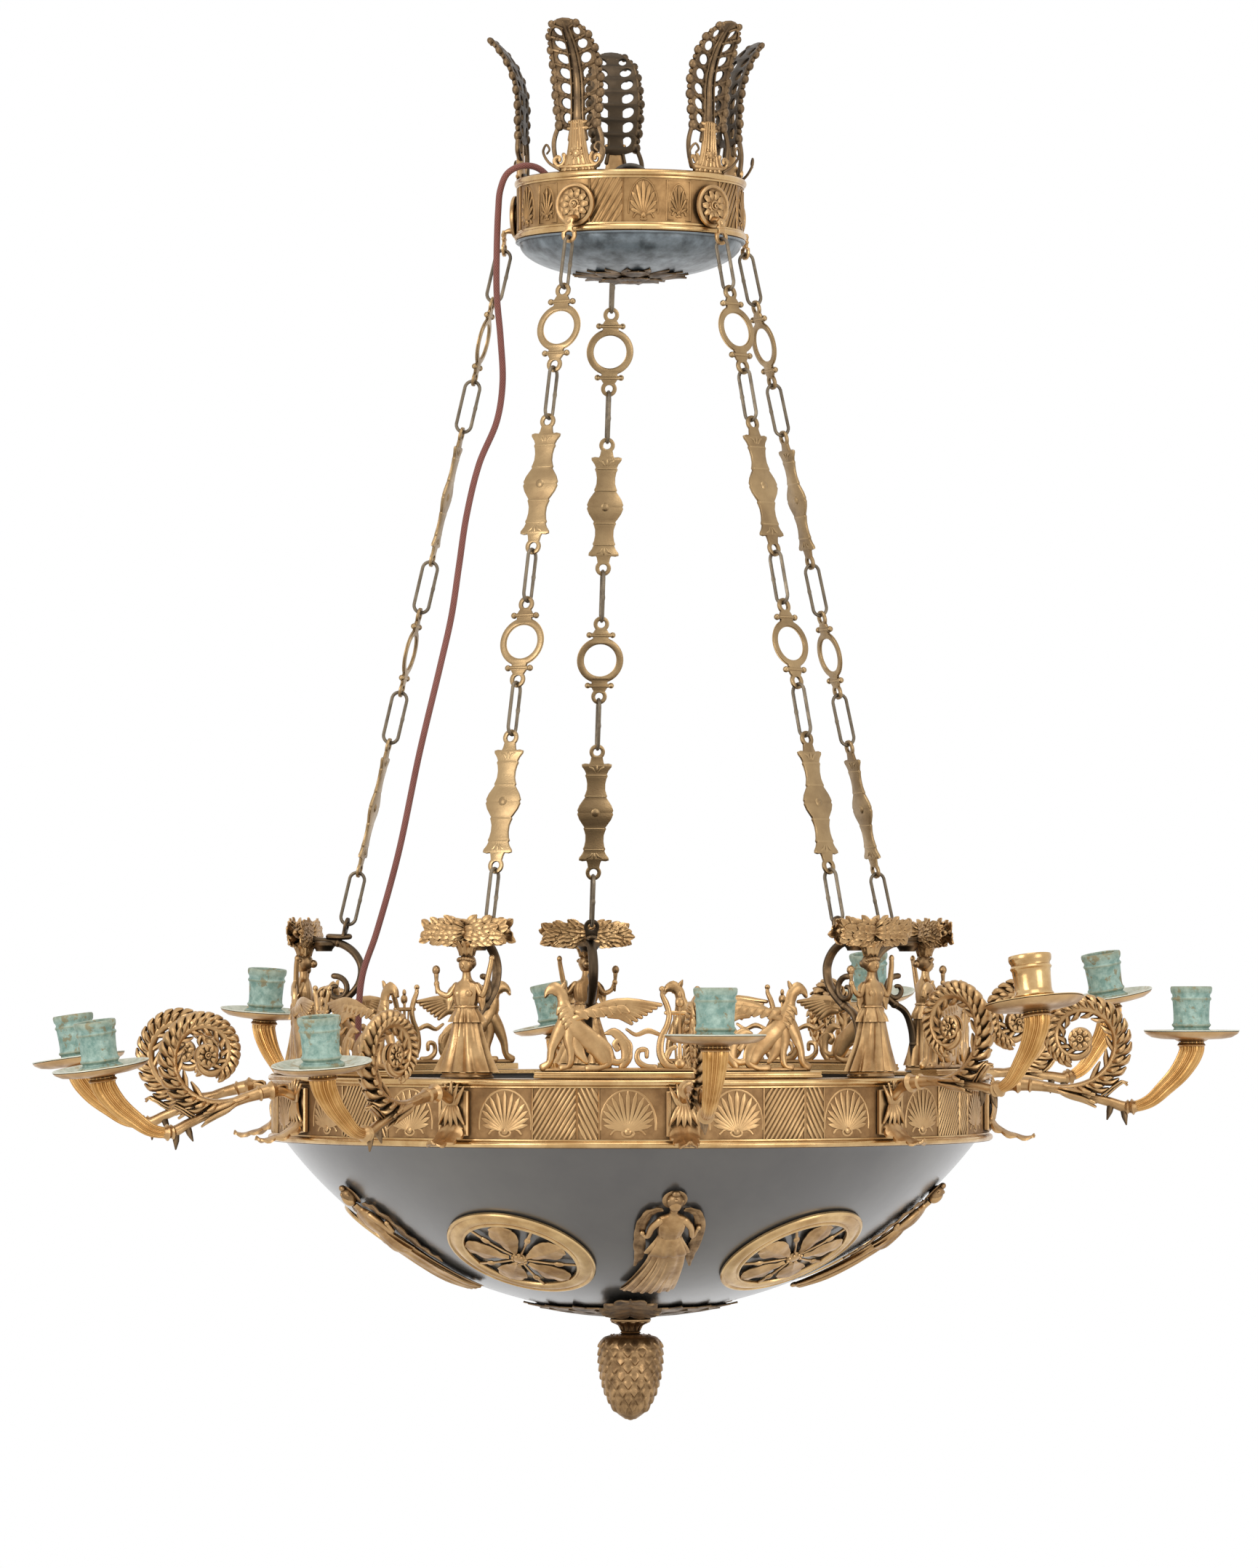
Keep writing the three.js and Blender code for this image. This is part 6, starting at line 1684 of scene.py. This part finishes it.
scroll = [bar(in_profile([on_scroll(t) for t in np.linspace(0, 1, 72)]), [4.6, 4.8, 4.4, 4.0, 3.4, 2.6],
              [2.6, 4.0, 4.2, 3.8, 3.2, 2.4], sides=14, side=X)]
for i in range(24):
    share = 0.09 + 0.74 * i / 24
    size = 1.15 - 0.55 * share
    lobe = [on_scroll(share - 0.020, 1.0), on_scroll(share, 5.6 * size), on_scroll(share + 0.012, 9.0 * size),
            on_scroll(share + 0.026, 10.4 * size)]
    scroll.append(profile_rod(lobe, 3, [4.8 * size, 5.4 * size, 4.2 * size, 1.8], [2.6, 3.4, 2.8, 1.3],
                              sides=10, side=X))
    for side in (-1, 1):
        wing = [on_scroll(share - 0.01, 0.5, side * 3.6),
                on_scroll(share + 0.004, 4.0 * size, side * 6.2 * size),
                on_scroll(share + 0.018, 6.4 * size, side * 7.0 * size)]
        scroll.append(profile_rod(wing, 3, [1.2, 2.1, 1.0], [1.4, 2.2, 1.0], sides=8))
for i in range(12):
    share = 0.12 + 0.06 * i
    inner_lobe = [on_scroll(share, -2.0), on_scroll(share + 0.022, -6.2),
                  on_scroll(share + 0.05, 4 * share - 9.0)]
    scroll.append(profile_rod(inner_lobe, 3, [3.4, 3.0, 1.2], [2.4, 2.4, 1.0], sides=8, side=X))
back_leaf = in_profile([on_scroll(0.02, 1), on_scroll(-0.03, 5), on_scroll(-0.05, 12), on_scroll(-0.04, 18)])
scroll.append(leaf(smooth_line(back_leaf, 4), [2.4, 4.2, 3.6, 0.8], lobes=3, notch=0.16, cup=0.3, rib=0.8,
                   thick=1.5, columns=9))
side_rosette = [turned([(0.01, 0), (8.6, 0), (9.4, 1.2), (9.0, 2.8), (7.4, 3.2), (5.6, 2.2), (0.01, 2.4)],
                       32)]
side_rosette += rosette_face(9.4, 8, 1.6)


def beside_scroll(side):
    """A design in (along, up, out) onto one side of the scroll's eye."""
    out, up = BAND_RADIUS + SCROLL_CENTRE[0], RIM_TOP + SCROLL_CENTRE[1]
    return lambda points: np.stack([side * (points[:, 2] + 0.6), points[:, 0] - out, points[:, 1] + up], 1)


scroll += bent(side_rosette, beside_scroll(-1)) + bent(side_rosette, beside_scroll(1))
print("scroll, shapes:", len(scroll))

# %% Make the arms
def arm_bend(i):
    """Turns a straight arm's points about its root, by the arm's own sag and turn."""
    root = np.array([0, -BAND_RADIUS - ARM_PATH[0][0], RIM_TOP + ARM_PATH[0][1]])
    sag, turn = tilted("X", ARM_SAG[i]), tilted("Z", ARM_TURN[i])
    return lambda points: sag(turn(points - root)) + root


for i in range(10):
    outward = around_axis(TENTH * i)
    bend = arm_bend(i)
    piece(f"leafy_arm_{i + 1}", [(worn_gilt, bent(bent(arm_gilt + scroll, bend) + arm_root, outward)),
                                 (horn_gilt, bent(bent(horn, bend), outward)),
                                 (palm_bronze, bent(bent(thorns, bend), outward))], "basin",
          [f"arm_{i + 1}"])
print("arm faces:", face_count(arm_gilt + horn + thorns + scroll + arm_root))

# %% [markdown]
# ## Candle sockets
# A pan catches the wax, and a nozzle holds the candle. The nozzles have a dry green verdigris, the pans a
# pale one on top and gilding under them. One pan and its nozzle were cleaned or replaced, and are still gilt.

# %% Make the candle sockets
NOZZLE_BORE, NOZZLE_TOP, NOZZLE_DEPTH = 12.5, 43.0, 22.0
SOCKET_SEAT = 10.0
GILT_SOCKET = 2


def dented(angles, row):
    """A pan's edge is never quite round."""
    return 1 + 0.008 * np.cos(3 * angles + 1) + 0.006 * np.cos(7 * angles)


pan_under = [(0.01, 0), (10, 0), (11.5, 0.5), (13, 1.5), (24, 2.0), (31, 3.2), (35.6, 5.8), (37.0, 7.6),
             (36.6, 7.9), (34.8, 6.4), (30.5, 4.2), (24, 3.0), (0.01, 2.8)]
pan_over = [(0.01, 2.9), (24, 3.1), (30.5, 4.3), (34.8, 6.5), (36.7, 8.1), (37.4, 8.2), (37.1, 8.9),
            (36.1, 8.8), (34.0, 7.4), (30, 5.4), (23, 4.3), (16, 4.6), (0.01, 4.8)]
nozzle_profile = [(0.01, 4.7), (13.2, 4.7), (16.4, 5.2), (17.2, 6.2), (17.0, 7.6), (15.6, 8.6), (14.0, 9.4),
                  (13.6, 10.6), (14.4, 11.6), (15.2, 12.4), (15.1, 13.4), (14.2, 14.4), (13.9, 17),
                  (14.0, 22), (14.3, 27), (14.6, 31.4), (15.3, 32.2), (15.7, 33.2), (15.3, 34.2),
                  (14.6, 35.0), (14.8, 36.6), (15.8, 38), (16.2, 39.8),
                  (16.3, 41.6), (15.8, 42.8), (14.8, NOZZLE_TOP), (13.2, 42.9), (NOZZLE_BORE, 42.2),
                  (NOZZLE_BORE, 30), (NOZZLE_BORE, NOZZLE_TOP - NOZZLE_DEPTH),
                  (0.01, NOZZLE_TOP - NOZZLE_DEPTH)]
pan_shapes = [turned(pan_over, 72, dented)]
pan_below = [turned(pan_under, 72, dented)]
nozzle_shapes = [turned(nozzle_profile, 64)]


def socket_place(i):
    """From a socket's own place, its pan's underside at the origin, to the end of its arm."""
    lean = math.radians(SOCKET_LEAN[i])
    lift = SEAT_GAP + SOCKET_SEAT * math.sin(abs(lean))
    tip, bend, outward = tilted("Y", SOCKET_LEAN[i]), arm_bend(i), around_axis(TENTH * i)
    seat = np.array([0, -BAND_RADIUS - horn_top[0], RIM_TOP + horn_top[1] + lift])
    return lambda points: outward(bend(tip(points) + seat))


for i in range(10):
    place = socket_place(i)
    top, cup, slot = pan_metal, verdigris, "verdigris_brass"
    if i + 1 == GILT_SOCKET:
        top, cup, slot = burnished_gilt, burnished_gilt, "gilt_bronze"
    parts = [(top, pan_shapes), (worn_gilt, pan_below), (cup, nozzle_shapes)]
    piece(f"pan_and_nozzle_{i + 1}", [(metal, bent(shapes, place)) for metal, shapes in parts], "basin",
          [f"candle_socket_{i + 1}"])
print("socket faces:", face_count(pan_shapes + pan_below + nozzle_shapes))
